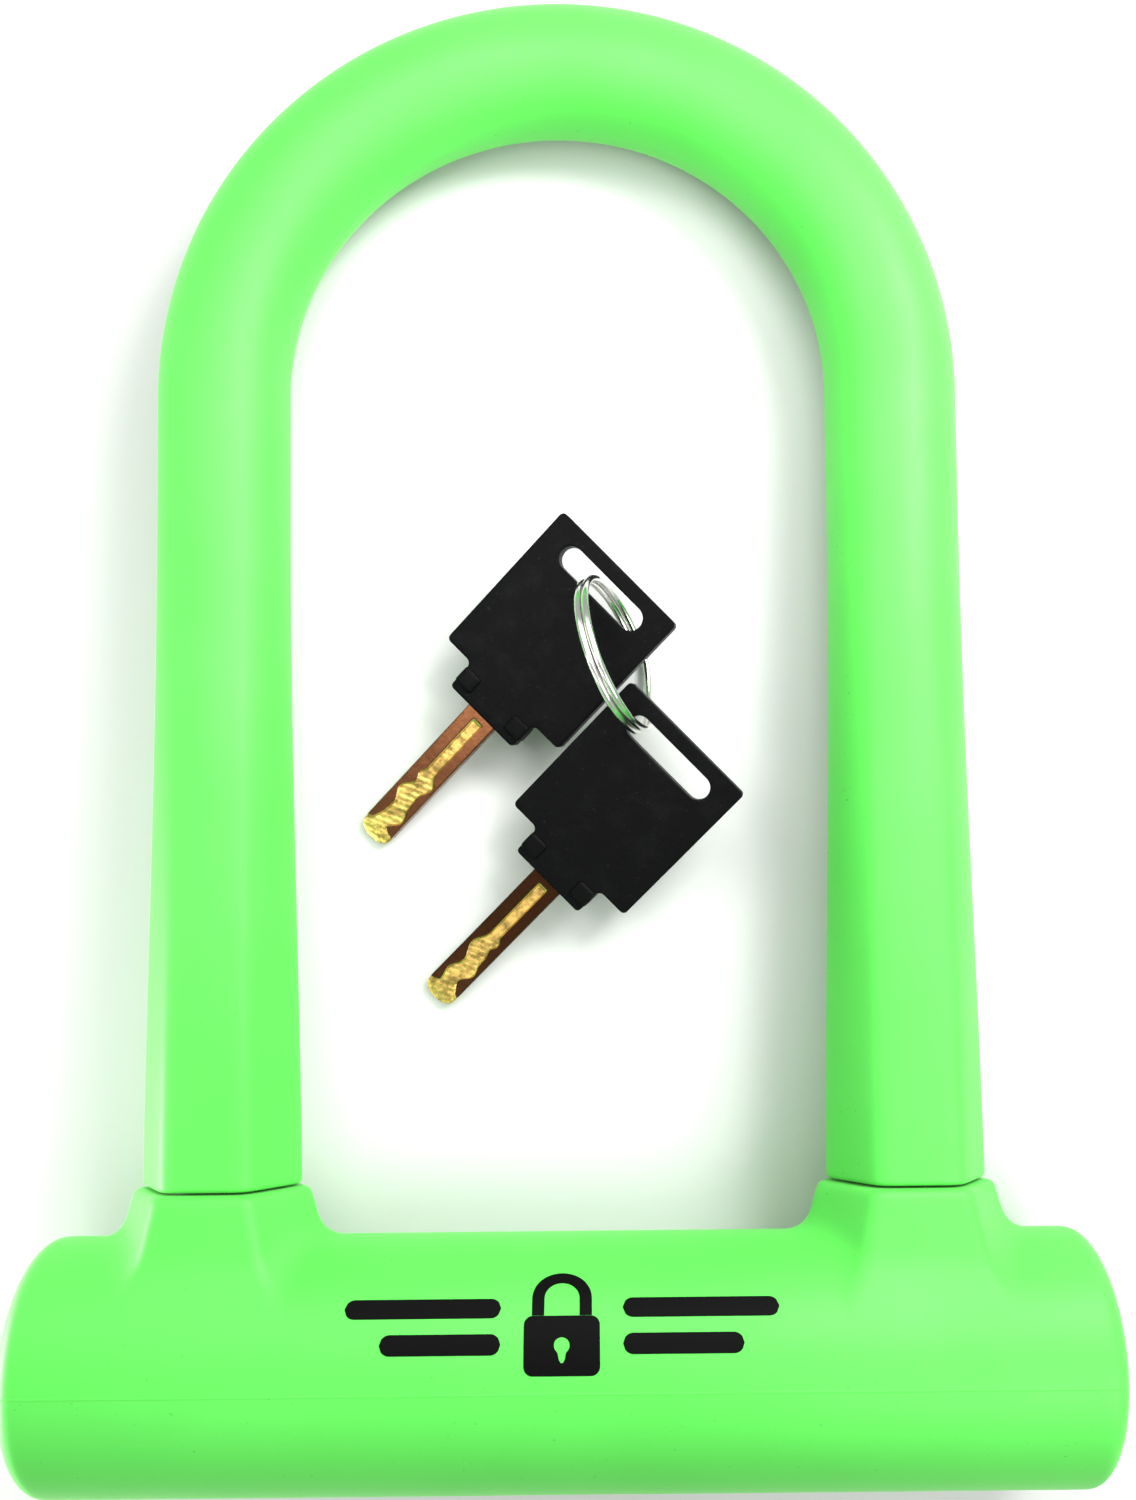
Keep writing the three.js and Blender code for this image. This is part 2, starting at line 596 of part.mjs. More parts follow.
function keyHead() {
  const outline = headOutline();
  const hole = new THREE.Path();
  hole.absarc(0, SLOT_REACH, SLOT_WIDTH / 2, 0, Math.PI);
  hole.absarc(0, -SLOT_REACH, SLOT_WIDTH / 2, Math.PI, 2 * Math.PI);
  outline.holes.push(hole);
  const settings = { depth: HEAD_THICKNESS, bevelEnabled: false, curveSegments: 8 };
  const body = new THREE.ExtrudeGeometry(outline, settings).translate(0, 0, -HEAD_THICKNESS / 2);
  const halfWidth = BLADE_WIDTH / 2 + GAP / 2;
  const halfThickness = BLADE_THICKNESS / 2 + GAP / 2;
  const along = [COLLAR_END_X - TANG_LENGTH - GAP, COLLAR_END_X + LAP];
  const pocket = block(along, [-halfWidth, halfWidth], [-halfThickness, halfThickness]);
  return shape(body, { cut: [pocket] });
}

function keyBlade() {
  const tip = COLLAR_END_X + BLADE_LENGTH;
  const half = BLADE_WIDTH / 2;
  const outline = new THREE.Shape();
  outline.moveTo(COLLAR_END_X - TANG_LENGTH, -half);
  outline.lineTo(tip - half, -half);
  outline.absarc(tip - half, 0, half, -Math.PI / 2, Math.PI / 2);
  outline.lineTo(COLLAR_END_X - TANG_LENGTH, half);
  const settings = { depth: BLADE_THICKNESS, bevelEnabled: false, curveSegments: 10 };
  const body = new THREE.ExtrudeGeometry(outline, settings).translate(0, 0, -BLADE_THICKNESS / 2);
  const floor = BLADE_THICKNESS / 2 - TRACK_DEPTH;
  const along = [COLLAR_END_X + LAP, tip - half];
  const track = block(along, [-TRACK_HALF_WIDTH, TRACK_HALF_WIDTH], [floor, FAR]);
  return shape(body, { cut: [track] });
}

// two flat turns side by side; the wire crosses from one to the other between its own two ends
class RingCurve extends THREE.Curve {
  getPoint(t, target = new THREE.Vector3()) {
    const turned = THREE.MathUtils.lerp(COIL_JOG, 4 * Math.PI - COIL_JOG, t);
    const crossed = THREE.MathUtils.smoothstep(turned, 2 * Math.PI - COIL_JOG, 2 * Math.PI + COIL_JOG);
    const angle = COIL_JOG_AT + turned;
    const height = (crossed - 0.5) * COIL_PITCH;
    return target.set(RING_RADIUS * Math.cos(angle), RING_RADIUS * Math.sin(angle), height);
  }
}

// local Z is the ring's axis and local X is level with the table
function splitRing() {
  const settings = { steps: COIL_STEPS, extrudePath: new RingCurve() };
  return new THREE.ExtrudeGeometry(ringOutline(WIRE_RADIUS, 8), settings);
}

// ---- assembly -----------------------------------------------------------------------------
function crossbarMeshes() {
  const meshes = [
    makeMesh('crossbar_sleeve', crossbarSleeve(), NEON_RUBBER),
    makeMesh('lock_tube', lockTube(), STEEL),
    makeMesh('cylinder_housing', cylinderHousing(), ZINC),
    makeMesh('keyhole_bezel', keyholeBezel(), DARK_STEEL),
    makeMesh('dust_cover_pin', dustCoverPin(), STEEL),
  ];
  for (const [name, side] of [['left', -1], ['right', 1]]) {
    meshes.push(makeMesh(`end_plug_${name}`, endPlug(side), DARK_STEEL));
    meshes.push(makeMesh(`end_pin_${name}`, endPin(side), STEEL));
    meshes.push(makeMesh(`leg_guide_${name}`, legGuide(side), ZINC));
    meshes.push(makeMesh(`bolt_guide_${name}`, boltGuide(side), ZINC));
    meshes.push(makeMesh(`housing_pin_${name}`, housingPin(side), STEEL));
  }
  return meshes;
}

function mechanismMeshes() {
  const meshes = [
    makeMesh('cylinder_plug', cylinderPlug(), BRASS),
    makeMesh('cam_clip', camClip(), STEEL),
    makeMesh('drive_cam', driveCam(), DARK_STEEL),
    makeMesh('dust_cover', dustCover(), DARK_STEEL),
    makeMesh('deadbolt_right', deadbolt(), STEEL),
    makeMesh('deadbolt_left', deadbolt().rotateY(Math.PI), STEEL),
  ];
  for (let index = 0; index < TUMBLER_COUNT; index += 1) {
    meshes.push(makeMesh(`tumbler_${index + 1}`, tumbler(index), BRASS));
  }
  return meshes;
}

// a unit vector at an angle round Z, rising above the level
function pointing(azimuth, rise) {
  const flat = Math.cos(rise);
  return new THREE.Vector3(flat * Math.cos(azimuth), flat * Math.sin(azimuth), Math.sin(rise));
}

function ringGroup() {
  const group = new THREE.Group();
  const axis = pointing(RING_AXIS_AZIMUTH, RING_AXIS_RISE);
  const level = pointing(RING_AXIS_AZIMUTH + Math.PI / 2, 0);
  const upward = axis.clone().cross(level);
  group.matrix.makeBasis(level, upward, axis).setPosition(RING_CENTRE);
  group.matrix.decompose(group.position, group.quaternion, group.scale);
  group.add(makeMesh('split_ring', splitRing(), STEEL));
  return group;
}

// where the ring passes through each key's slot: the two ends of its level diameter
function slotCrossing(end) {
  const level = pointing(RING_AXIS_AZIMUTH + Math.PI / 2, 0);
  return RING_CENTRE.clone().addScaledVector(level, end * RING_RADIUS);
}

function keyGroup(name, end) {
  const group = new THREE.Group();
  const along = pointing(KEY_AZIMUTH, -KEY_PITCH);
  const across = pointing(KEY_AZIMUTH + Math.PI / 2, 0);
  const normal = along.clone().cross(across);
  const centre = slotCrossing(end).addScaledVector(across, KEY_SHIFTS[name]);
  group.matrix.makeBasis(along, across, normal).setPosition(centre);
  group.matrix.decompose(group.position, group.quaternion, group.scale);
  group.add(makeMesh(`${name}_head`, keyHead(), BLACK_PLASTIC));
  group.add(makeMesh(`${name}_blade`, keyBlade(), BRASS));
  return group;
}

function buildLock() {
  const lock = new THREE.Group();
  lock.rotation.x = -LEAN;
  lock.position.z = BAR_RADIUS;
  lock.add(...crossbarMeshes(), ...mechanismMeshes());
  lock.add(makeMesh('shackle_rod', shackleRod(), STEEL));
  lock.add(makeMesh('shackle_sleeve', shackleSleeve(), NEON_RUBBER));
  return lock;
}

const uLock = new THREE.Group();
uLock.add(buildLock(), ringGroup(), keyGroup('key_1', 1), keyGroup('key_2', -1));

// the origin is the middle of the footprint, on the table
uLock.updateMatrixWorld(true);
const bounds = new THREE.Box3().setFromObject(uLock, true);
const middle = bounds.getCenter(new THREE.Vector3());
uLock.position.set(-middle.x, -middle.y, -bounds.min.z);

export default uLock;
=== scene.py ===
"""The looks of a compact U-lock in neon rubber with two keys on a split ring.

Laid out as a Blender add-on and run as a script. Lengths are in metres, angles in radians.
"""

import json
import math

import bpy
import numpy as np
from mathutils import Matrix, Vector


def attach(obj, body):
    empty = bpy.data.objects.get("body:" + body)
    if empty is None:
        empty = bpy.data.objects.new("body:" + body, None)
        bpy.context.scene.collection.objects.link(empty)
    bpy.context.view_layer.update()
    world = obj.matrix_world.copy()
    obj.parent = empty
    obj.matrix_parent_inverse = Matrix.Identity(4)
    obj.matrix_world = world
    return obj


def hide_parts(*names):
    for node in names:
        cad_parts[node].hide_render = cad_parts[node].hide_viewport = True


bl_info = {
    "name": "U-lock looks",
    "version": (1, 0, 0),
    "blender": (4, 5, 0),
    "location": "3D View > Sidebar > U-lock",
    "description": "Builds the rubber skins, keys, ring and small metal parts of a U-lock",
    "category": "Object",
}

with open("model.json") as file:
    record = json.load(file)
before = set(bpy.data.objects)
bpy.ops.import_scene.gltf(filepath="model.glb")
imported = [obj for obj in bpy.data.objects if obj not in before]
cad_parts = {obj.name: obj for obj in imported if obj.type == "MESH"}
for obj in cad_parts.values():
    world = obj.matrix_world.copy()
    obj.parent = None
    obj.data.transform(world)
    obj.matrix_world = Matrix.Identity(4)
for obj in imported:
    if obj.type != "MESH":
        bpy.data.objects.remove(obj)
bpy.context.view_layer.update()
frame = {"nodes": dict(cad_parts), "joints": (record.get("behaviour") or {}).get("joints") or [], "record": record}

MM = 0.001
TAU = 2 * math.pi


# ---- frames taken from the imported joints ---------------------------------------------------

class Placement:
    """A right-handed set of axes with an origin: local points go to origin + x X + y Y + z Z."""

    def __init__(self, origin, x_axis, y_axis):
        self.origin = np.array(origin, float)
        first = np.array(x_axis, float) / np.linalg.norm(x_axis)
        second = np.array(y_axis, float) / np.linalg.norm(y_axis)
        self.axes = np.stack([first, second, np.cross(first, second)])

    def place(self, points):
        return self.origin + points @ self.axes


def joint(name):
    for entry in frame["joints"]:
        if entry["name"] == name:
            return entry
    raise KeyError(f"the frame has no joint named {name}")


def key_placement(name, outward_sign, slot_shift):
    """The key's axes: X towards the tip, Y along the slot, origin in the middle of the slot."""
    swing = joint(name)
    normal = outward_sign * np.array(swing["axis"])
    across = np.array([-normal[1], normal[0], 0.0])
    across /= np.linalg.norm(across)
    origin = np.array(swing["pos_m"]) + slot_shift * across
    return Placement(origin, np.cross(across, normal), across)


def ring_placement(rise):
    """The ring's axes: X level and through both slots, Z along the ring's axis."""
    first = np.array(joint("key_1_swing")["pos_m"])
    second = np.array(joint("key_2_swing")["pos_m"])
    level = (first - second) / np.linalg.norm(first - second)
    sideways = np.array([level[1], -level[0], 0.0])
    axis = math.cos(rise) * sideways + math.sin(rise) * np.array([0.0, 0.0, 1.0])
    return Placement((first + second) / 2, level, np.cross(axis, level))


PLUG = joint("plug_turn")
LOCK = Placement(PLUG["pos_m"], (1, 0, 0), PLUG["axis"])


# ---- sizes and colours ----------------------------------------------------------------------

def length(name, description, default):
    return bpy.props.FloatProperty(
        name=name, description=description, default=default, unit="LENGTH", precision=5)


def colour(name, description, default):
    return bpy.props.FloatVectorProperty(
        name=name, description=description, default=default, size=4, min=0, max=1, subtype="COLOR")


class UlockBodySizes(bpy.types.PropertyGroup):
    """Sizes of the crossbar and the shackle."""

    bar_radius: length("Bar radius", "Outside of the rubber round the crossbar", 16.5 * MM)
    bar_half_length: length("Bar half length", "Middle of the bar to the end of its dome", 69.9 * MM)
    dome_length: length("Dome length", "How far each rounded end reaches along the bar", 4.6 * MM)
    dome_power: bpy.props.FloatProperty(name="Dome power", description="2 is an ellipse", default=3.0)
    tube_clearance: length("Tube clearance", "Inside radius of the crossbar's rubber", 14.3 * MM)
    tube_reach: length("Tube reach", "Middle of the bar to the end of the hollow", 62.3 * MM)
    leg_x: length("Leg offset", "Middle of the bar to each leg's axis", 45 * MM)
    bend_y: length("Bend height", "Bar axis to the centre of the bend", 129 * MM)
    seam_y: length("Seam height", "Bar axis to the top of the collars", 23 * MM)
    rod_radius: length("Rod radius", "Steel of the shackle", 6.5 * MM)
    rod_end_y: length("Rod end", "Bar axis to the end of the steel, below it", -8 * MM)
    apex_radius: length("Skin at the apex", "Rubber radius in the middle of the bend", 8 * MM)
    leg_radius: length("Skin on the leg", "Rubber radius where leg and bend meet", 8.7 * MM)
    foot_apothem: length("Foot flat", "Leg axis to the flats of the hexagonal foot", 9.5 * MM)
    flare_top: length("Flare top", "Height above which the leg is round", 112 * MM)
    gap: length("Gap", "Clearance between neighbouring pieces", 0.3 * MM)


class UlockKeySizes(bpy.types.PropertyGroup):
    """Sizes of the keys and of the ring."""

    head_width: length("Head width", "Across the head", 21.5 * MM)
    head_length: length("Head length", "Along the head", 23.2 * MM)
    head_thickness: length("Head thickness", "Through the head", 3 * MM)
    slot_edge: length("Slot to edge", "Slot centreline to the head's far edge", 3.7 * MM)
    slot_length: length("Slot length", "End to end", 14.6 * MM)
    slot_width: length("Slot width", "Across the slot", 3.3 * MM)
    collar_width: length("Collar width", "Across the block that carries the blade", 12 * MM)
    collar_length: length("Collar length", "Along the same block", 4.3 * MM)
    blade_width: length("Blade width", "Across the blade", 4.9 * MM)
    blade_thickness: length("Blade thickness", "Through the blade", 2 * MM)
    blade_length: length("Blade length", "Collar to tip", 23.6 * MM)
    track_depth: length("Track depth", "How deep the key's track is milled", 0.45 * MM)
    first_shift: length("First key's shift", "Ring to the middle of the first key's slot", 1.7 * MM)
    second_shift: length("Second key's shift", "Ring to the middle of the second key's slot", 5.3 * MM)
    ring_radius: length("Ring radius", "Centre of the wire", 10.6 * MM)
    wire_radius: length("Wire radius", "Half of the wire's thickness", 0.5 * MM)
    coil_pitch: length("Coil pitch", "From one turn to the next", 1.06 * MM)
    ring_rise: bpy.props.FloatProperty(
        name="Ring lean", description="How far the ring's axis points above the level",
        default=math.radians(20.5), subtype="ANGLE")


class UlockColours(bpy.types.PropertyGroup):
    """Colours of the finishes."""

    neon: colour("Neon rubber", "Lit side of the rubber", (0.085, 0.6, 0.07, 1))
    neon_deep: colour("Deep neon", "Thicker, less dusty rubber", (0.068, 0.53, 0.055, 1))
    plastic: colour("Black plastic", "Key heads", (0.0025, 0.0025, 0.0028, 1))
    bronze: colour("Bronze", "Untouched surface of the key blades", (0.30, 0.115, 0.05, 1))
    milled: colour("Milled brass", "Fresh surface of the milled track", (0.86, 0.56, 0.16, 1))
    ink: colour("Ink", "Printed mark", (0.0015, 0.0015, 0.0015, 1))
    floor: colour("Floor", "Table top", (0.6, 0.6, 0.595, 1))


# ---- shape maths ----------------------------------------------------------------------------

def smooth_step(value, low, high):
    """0 below low, 1 above high, and 3t^2 - 2t^3 between."""
    t = np.clip((value - low) / (high - low), 0, 1)
    return t * t * (3 - 2 * t)


def smooth_max(a, b, width):
    """The larger of a and b, raised by up to width / 4 where they are closer than width."""
    near = np.maximum(width - np.abs(a - b), 0) / width
    return np.maximum(a, b) + near * near * width / 4


def smooth_min(a, b, width):
    return -smooth_max(-a, -b, width)


def ridge(distance, height, width):
    """A thin moulding line: height times exp(-(distance / width)^2)."""
    return height * np.exp(-(distance / width) ** 2)


def hexagon_radius(angle, apothem, power):
    """Polar radius of a rounded hexagon with a flat at 90 degrees.

    apothem times (sum of |cos(angle - normal)|^power over three normals)^(-1 / power).
    """
    total = sum(np.abs(np.cos(angle - math.radians(normal))) ** power for normal in (30, 90, 150))
    return apothem * total ** (-1 / power)


def stadium_radius(angle, reach, radius):
    """Polar radius of two half circles whose centres lie at y = -reach and y = +reach."""
    across, along = np.cos(angle), np.sin(angle)
    side = radius / np.maximum(np.abs(across), 1e-9)
    end = np.abs(along) * reach + np.sqrt(np.maximum(radius ** 2 - (across * reach) ** 2, 0))
    return np.where(side * np.abs(along) <= reach, side, end)


def rounded_outline(corners, radii, arc_steps, spacing):
    """Points round a polygon whose corners are arcs, anticlockwise, with extra points on long sides."""
    corners = np.array(corners, float)
    count = len(corners)
    pieces = []
    for index in range(count):
        before = corners[index - 1] - corners[index]
        after = corners[(index + 1) % count] - corners[index]
        before /= np.linalg.norm(before)
        after /= np.linalg.norm(after)
        half = math.acos(float(np.clip(before @ after, -1, 1))) / 2
        reach = radii[index] / math.tan(half)
        start, end = corners[index] + before * reach, corners[index] + after * reach
        inward = (before + after) / np.linalg.norm(before + after)
        centre = corners[index] + inward * radii[index] / math.sin(half)
        first = math.atan2(*(start - centre)[::-1])
        turn = (math.atan2(*(end - centre)[::-1]) - first + math.pi) % TAU - math.pi
        angles = first + turn * np.linspace(0, 1, arc_steps)
        pieces.append(centre + radii[index] * np.stack([np.cos(angles), np.sin(angles)], 1))
    points = []
    for index, piece in enumerate(pieces):
        points.append(piece)
        gap = pieces[(index + 1) % count][0] - piece[-1]
        steps = max(int(np.linalg.norm(gap) / spacing), 1)
        points.append(piece[-1] + gap * (np.arange(1, steps) / steps)[:, None])
    return np.concatenate(points)


def lerp(start, end, share):
    return start + (end - start) * share


# ---- meshes ---------------------------------------------------------------------------------

class Shell:
    """Collects closed grids of points and turns them into one mesh."""

    def __init__(self):
        self.points, self.quads, self.triangles, self.masks = [], [], [], []
        self.count = 0

    def grid(self, points, wrap_rows=False, cap_start=False, cap_end=False, mask=None):
        """Adds rows x columns points; a cap closes the first or last row with a fan to its middle."""
        rows, columns = points.shape[:2]
        index = np.arange(rows * columns).reshape(rows, columns)
        down = np.roll(index, -1, 0) if wrap_rows else index[1:]
        here = index if wrap_rows else index[:-1]
        right_here, right_down = np.roll(here, -1, 1), np.roll(down, -1, 1)
        quads = np.stack([here, right_here, right_down, down], -1).reshape(-1, 4)
        flat = points.reshape(-1, 3)
        fans = []
        for wanted, row, order in ((cap_start, 0, (2, 1, 0)), (cap_end, rows - 1, (0, 1, 2))):
            if wanted:
                ring = index[row]
                pole = np.full(columns, len(flat))
                flat = np.concatenate([flat, points[row].mean(0)[None]])
                fans.append(np.stack([ring, np.roll(ring, -1), pole], -1)[:, order])
        triangles = np.concatenate(fans) if fans else np.zeros((0, 3), int)
        if self._volume(flat, quads, triangles) < 0:
            quads, triangles = quads[:, ::-1], triangles[:, ::-1]
        values = np.zeros(len(flat)) if mask is None else np.resize(mask.ravel(), len(flat))
        self.points.append(flat)
        self.quads.append(quads + self.count)
        self.triangles.append(triangles + self.count)
        self.masks.append(values)
        self.count += len(flat)
        return self

    @staticmethod
    def _volume(points, quads, triangles):
        """Six times the signed volume: the sum of a . (b x c) over all triangles."""
        split = np.concatenate([quads[:, [0, 1, 2]], quads[:, [0, 2, 3]], triangles])
        corner = points[split] - points.mean(0)
        return float(np.einsum("ij,ij->i", corner[:, 0], np.cross(corner[:, 1], corner[:, 2])).sum())

    def mesh(self, name, placement):
        points = placement.place(np.concatenate(self.points))
        quads, triangles = np.concatenate(self.quads), np.concatenate(self.triangles)
        mesh = bpy.data.meshes.new(name)
        mesh.vertices.add(len(points))
        mesh.vertices.foreach_set("co", points.astype(np.float32).ravel())
        loops = np.concatenate([quads.ravel(), triangles.ravel()]).astype(np.int32)
        mesh.loops.add(len(loops))
        mesh.loops.foreach_set("vertex_index", loops)
        totals = np.concatenate([np.full(len(quads), 4), np.full(len(triangles), 3)])
        starts = np.concatenate([[0], np.cumsum(totals)[:-1]])
        mesh.polygons.add(len(totals))
        mesh.polygons.foreach_set("loop_start", starts.astype(np.int32))
        mesh.polygons.foreach_set("loop_total", totals.astype(np.int32))
        mesh.update(calc_edges=True)
        attribute = mesh.attributes.new("mask", "FLOAT", "POINT")
        attribute.data.foreach_set("value", np.concatenate(self.masks).astype(np.float32))
        mesh.validate()
        return mesh


def finish_mesh(mesh, sharp_degrees):
    mesh.shade_smooth()
    mesh.set_sharp_from_angle(angle=math.radians(sharp_degrees))


def carved(mesh, name, cutters):
    """The mesh with closed cutters taken out of it."""
    body = bpy.data.objects.new(name, mesh)
    bpy.context.scene.collection.objects.link(body)
    tools = []
    for cutter in cutters:
        tool = bpy.data.objects.new("cutter", cutter)
        bpy.context.scene.collection.objects.link(tool)
        cut = body.modifiers.new("cut", "BOOLEAN")
        cut.operation = "DIFFERENCE"
        cut.solver = "EXACT"
        cut.object = tool
        tools.append(tool)
    graph = bpy.context.evaluated_depsgraph_get()
    result = bpy.data.meshes.new_from_object(body.evaluated_get(graph))
    for old in (body, *tools):
        bpy.data.objects.remove(old)
    return result


def add_piece(name, mesh, body, slot, replaces=(), sharp_degrees=38, look=None):
    finish_mesh(mesh, sharp_degrees)
    mesh.name = name
    piece = bpy.data.objects.new(name, mesh)
    bpy.context.scene.collection.objects.link(piece)
    mesh.materials.clear()
    mesh.materials.append(finish(look or slot))
    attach(piece, body)
    if replaces:
        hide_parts(*replaces)
    return piece


# ---- crossbar skin --------------------------------------------------------------------------

COLLAR_TOP_SCALE = 1.08  # collar section at the seam, against the leg's foot
COLLAR_FRONT_SPREAD = 0.127  # growth of the flats that face up and down, for each step towards the bar
COLLAR_SIDE_SPREAD = 0.24  # the same for the four slanted sides
COLLAR_EDGE = 1.2 * MM  # rounding between the collar's sides
COLLAR_RIM = 1.0 * MM  # rounding of the collar's top edge
COLLAR_FILLET = 3.0 * MM  # blend between collar and bar
PARTING_HEIGHT = 0.06 * MM
PARTING_WIDTH = 0.14 * MM
COLLAR_SPAN = 26 * MM  # the collars' shapes begin outside this place along the bar
STATION_STEP = 0.34 * MM


def collar_distance(sizes, x, y, z):
    """Roughly the distance to a hexagonal block that spreads towards the bar.

    The rounded maximum of the distances to its planes.
    """
    drop = sizes.seam_y - y
    distance = None
    for normal in range(30, 390, 60):
        turn = math.radians(normal)
        spread = COLLAR_FRONT_SPREAD if normal % 180 == 90 else COLLAR_SIDE_SPREAD
        offset = sizes.foot_apothem * COLLAR_TOP_SCALE + spread * drop
        side = math.cos(turn) * x + math.sin(turn) * z - offset
        distance = side if distance is None else smooth_max(distance, side, COLLAR_EDGE)
    return np.maximum(smooth_max(distance, -drop, COLLAR_RIM), -y)


def dome_radius(sizes, x):
    """Radius of the bar at x: full between the domes, then a superellipse down to nothing."""
    into = np.clip((np.abs(x) - sizes.bar_half_length + sizes.dome_length) / sizes.dome_length, 0, 1)
    return sizes.bar_radius * (1 - into ** sizes.dome_power) ** (1 / sizes.dome_power)


def bar_stations(sizes):
    """Places along the bar: evenly turned round the domes, fine under the collars, wide between them."""
    shoulder = sizes.bar_half_length - sizes.dome_length
    turn = np.linspace(0, 0.985, 30) * math.pi / 2
    end = shoulder + sizes.dome_length * np.sin(turn) ** (2 / sizes.dome_power)
    fine = np.arange(COLLAR_SPAN, shoulder - STATION_STEP / 2, STATION_STEP)
    middle = np.linspace(-COLLAR_SPAN, COLLAR_SPAN, 30)[1:-1]
    right = np.concatenate([fine, end])
    return np.concatenate([-right[::-1], middle, right])


def bar_angles():
    """Angles round the bar from +Y: fine over the collars and at the parting lines."""
    fine = np.radians(np.arange(-64, 64.1, 1.0))
    line = math.pi / 2 + np.radians(np.arange(-1.6, 1.61, 0.2))
    upper = np.radians(np.concatenate([np.arange(66, 88, 2.0), np.degrees(line), np.arange(92, 180, 2.5)]))
    return np.concatenate([fine, upper, -upper[::-1]])


def bar_surface(sizes):
    """Each ray from the bar's axis ends where the blended distance to bar and collars is 0, by halving."""
    stations = bar_stations(sizes)
    angles = bar_angles()
    x, turn = np.meshgrid(stations, angles, indexing="ij")
    bar = dome_radius(sizes, x)
    beside = np.abs(x) - sizes.leg_x

    def outside(radius):
        collar = collar_distance(sizes, beside, radius * np.cos(turn), radius * np.sin(turn))
        return smooth_min(radius - bar, collar, COLLAR_FILLET)

    low, high = np.zeros_like(x), np.full_like(x, 40 * MM)
    for _ in range(40):
        middle = (low + high) / 2
        inside = outside(middle) < 0
        low, high = np.where(inside, middle, low), np.where(inside, high, middle)
    radius = low + ridge((np.abs(turn) - math.pi / 2) * sizes.bar_radius, PARTING_HEIGHT, PARTING_WIDTH)
    return np.stack([x, radius * np.cos(turn), radius * np.sin(turn)], -1)


def lathe_x(stations, radii, steps=96):
    turn = np.arange(steps) * TAU / steps
    radii = np.array(radii)[:, None]
    x = np.repeat(np.array(stations)[:, None], steps, 1)
    return np.stack([x, radii * np.cos(turn), radii * np.sin(turn)], -1)


def lathe_y(stations, radii, centre_x=0.0, centre_z=0.0, steps=96):
    turn = np.arange(steps) * TAU / steps
    radii = np.array(radii)[:, None]
    y = np.repeat(np.array(stations)[:, None], steps, 1)
    return np.stack([centre_x + radii * np.cos(turn), y, centre_z + radii * np.sin(turn)], -1)


def solid(points):
    return Shell().grid(points, cap_start=True, cap_end=True).mesh("solid", LOCK)


BEZEL_REACH = 7 * MM  # centre of the bezel's round ends, along the bar
BEZEL_RADIUS = 6 * MM
BEZEL_FACE = 15.2 * MM
WINDOW_TOP = 30 * MM


def bezel_outline(angle, grow=0.0):
    """The bezel's long round outline, as x and z."""
    radius = stadium_radius(angle + math.pi / 2, BEZEL_REACH, BEZEL_RADIUS + grow)
    return radius * np.cos(angle), radius * np.sin(angle)


def window_cutter(sizes):
    angle = np.arange(96) * TAU / 96
    x, z = bezel_outline(angle, sizes.gap)
    depths = np.array([-WINDOW_TOP, -10 * MM])[:, None]
    columns = np.ones((2, 1))
    points = np.stack([columns * x, depths * np.ones(96), columns * z], -1)
    return solid(points)


def build_crossbar_skin(sizes):
    mesh = Shell().grid(bar_surface(sizes), cap_start=True, cap_end=True).mesh("crossbar_skin", LOCK)
    bore = sizes.rod_radius + sizes.gap
    mouth = [0, sizes.seam_y - 0.7 * MM, sizes.seam_y - 0.2 * MM, sizes.seam_y + 0.1 * MM, 2 * sizes.seam_y]
    widths = [bore, bore, bore + 0.25 * MM, bore + 0.7 * MM, bore + 0.9 * MM]
    cutters = [solid(lathe_x([-sizes.tube_reach, sizes.tube_reach], [sizes.tube_clearance] * 2, 128))]
    for side in (-1, 1):
        cutters.append(solid(lathe_y(mouth, widths, side * sizes.leg_x)))
    cutters.append(window_cutter(sizes))
    return carved(mesh, "crossbar_skin", cutters)


# ---- shackle --------------------------------------------------------------------------------

HEXAGON_POWER = 15
FOOT_EDGE = 0.7 * MM
FOOT_BORE_EDGE = 0.3 * MM


def shackle_line(sizes, start_y, leg_steps, bend_steps):
    """Stations along the U: up the left leg, round the bend, down the right leg.

    Gives the centre, the outward direction, and the height along the leg of each station.
    """
    rise = np.linspace(0, 1, leg_steps, endpoint=False) ** 1.15
    heights = start_y + (sizes.bend_y - start_y) * rise
    turn = math.pi * (1 - np.linspace(0, 1, bend_steps))
    zeros, ones = np.zeros(leg_steps), np.ones(leg_steps)
    left = np.stack([-sizes.leg_x * ones, heights, -ones, zeros], 1)
    arc = np.stack([sizes.leg_x * np.cos(turn), sizes.bend_y + sizes.leg_x * np.sin(turn),
                    np.cos(turn), np.sin(turn)], 1)
    right = left[::-1] * np.array([-1, 1, -1, 1])
    return np.concatenate([left, arc, right])


def skin_radius(sizes, angle, y, climb):
    """Rubber round the shackle: a rounded hexagon at the foot that eases into a circle up the leg."""
    ease = smooth_step(y, sizes.seam_y - 12 * MM, sizes.flare_top)
    round_radius = lerp(sizes.leg_radius, sizes.apex_radius, climb)
    return lerp(hexagon_radius(angle, sizes.foot_apothem, HEXAGON_POWER), round_radius, ease)


def sweep_points(line, angle, radius):
    """Sections with polar radius(row, angle), square to the line: across goes outwards and up is Z."""
    reach = radius * np.cos(angle)
    return np.stack([line[:, :1] + reach * line[:, 2:3], line[:, 1:2] + reach * line[:, 3:4],
                     radius * np.sin(angle)], -1)


def skin_angles():
    """Angles round a leg, finer at the two mould lines and at the hexagon's corners."""
    line = np.radians(np.arange(-3, 3.1, 0.75))
    between = np.radians(np.arange(5, 176, 2.5))
    return np.concatenate([line, between, line + math.pi, between + math.pi])


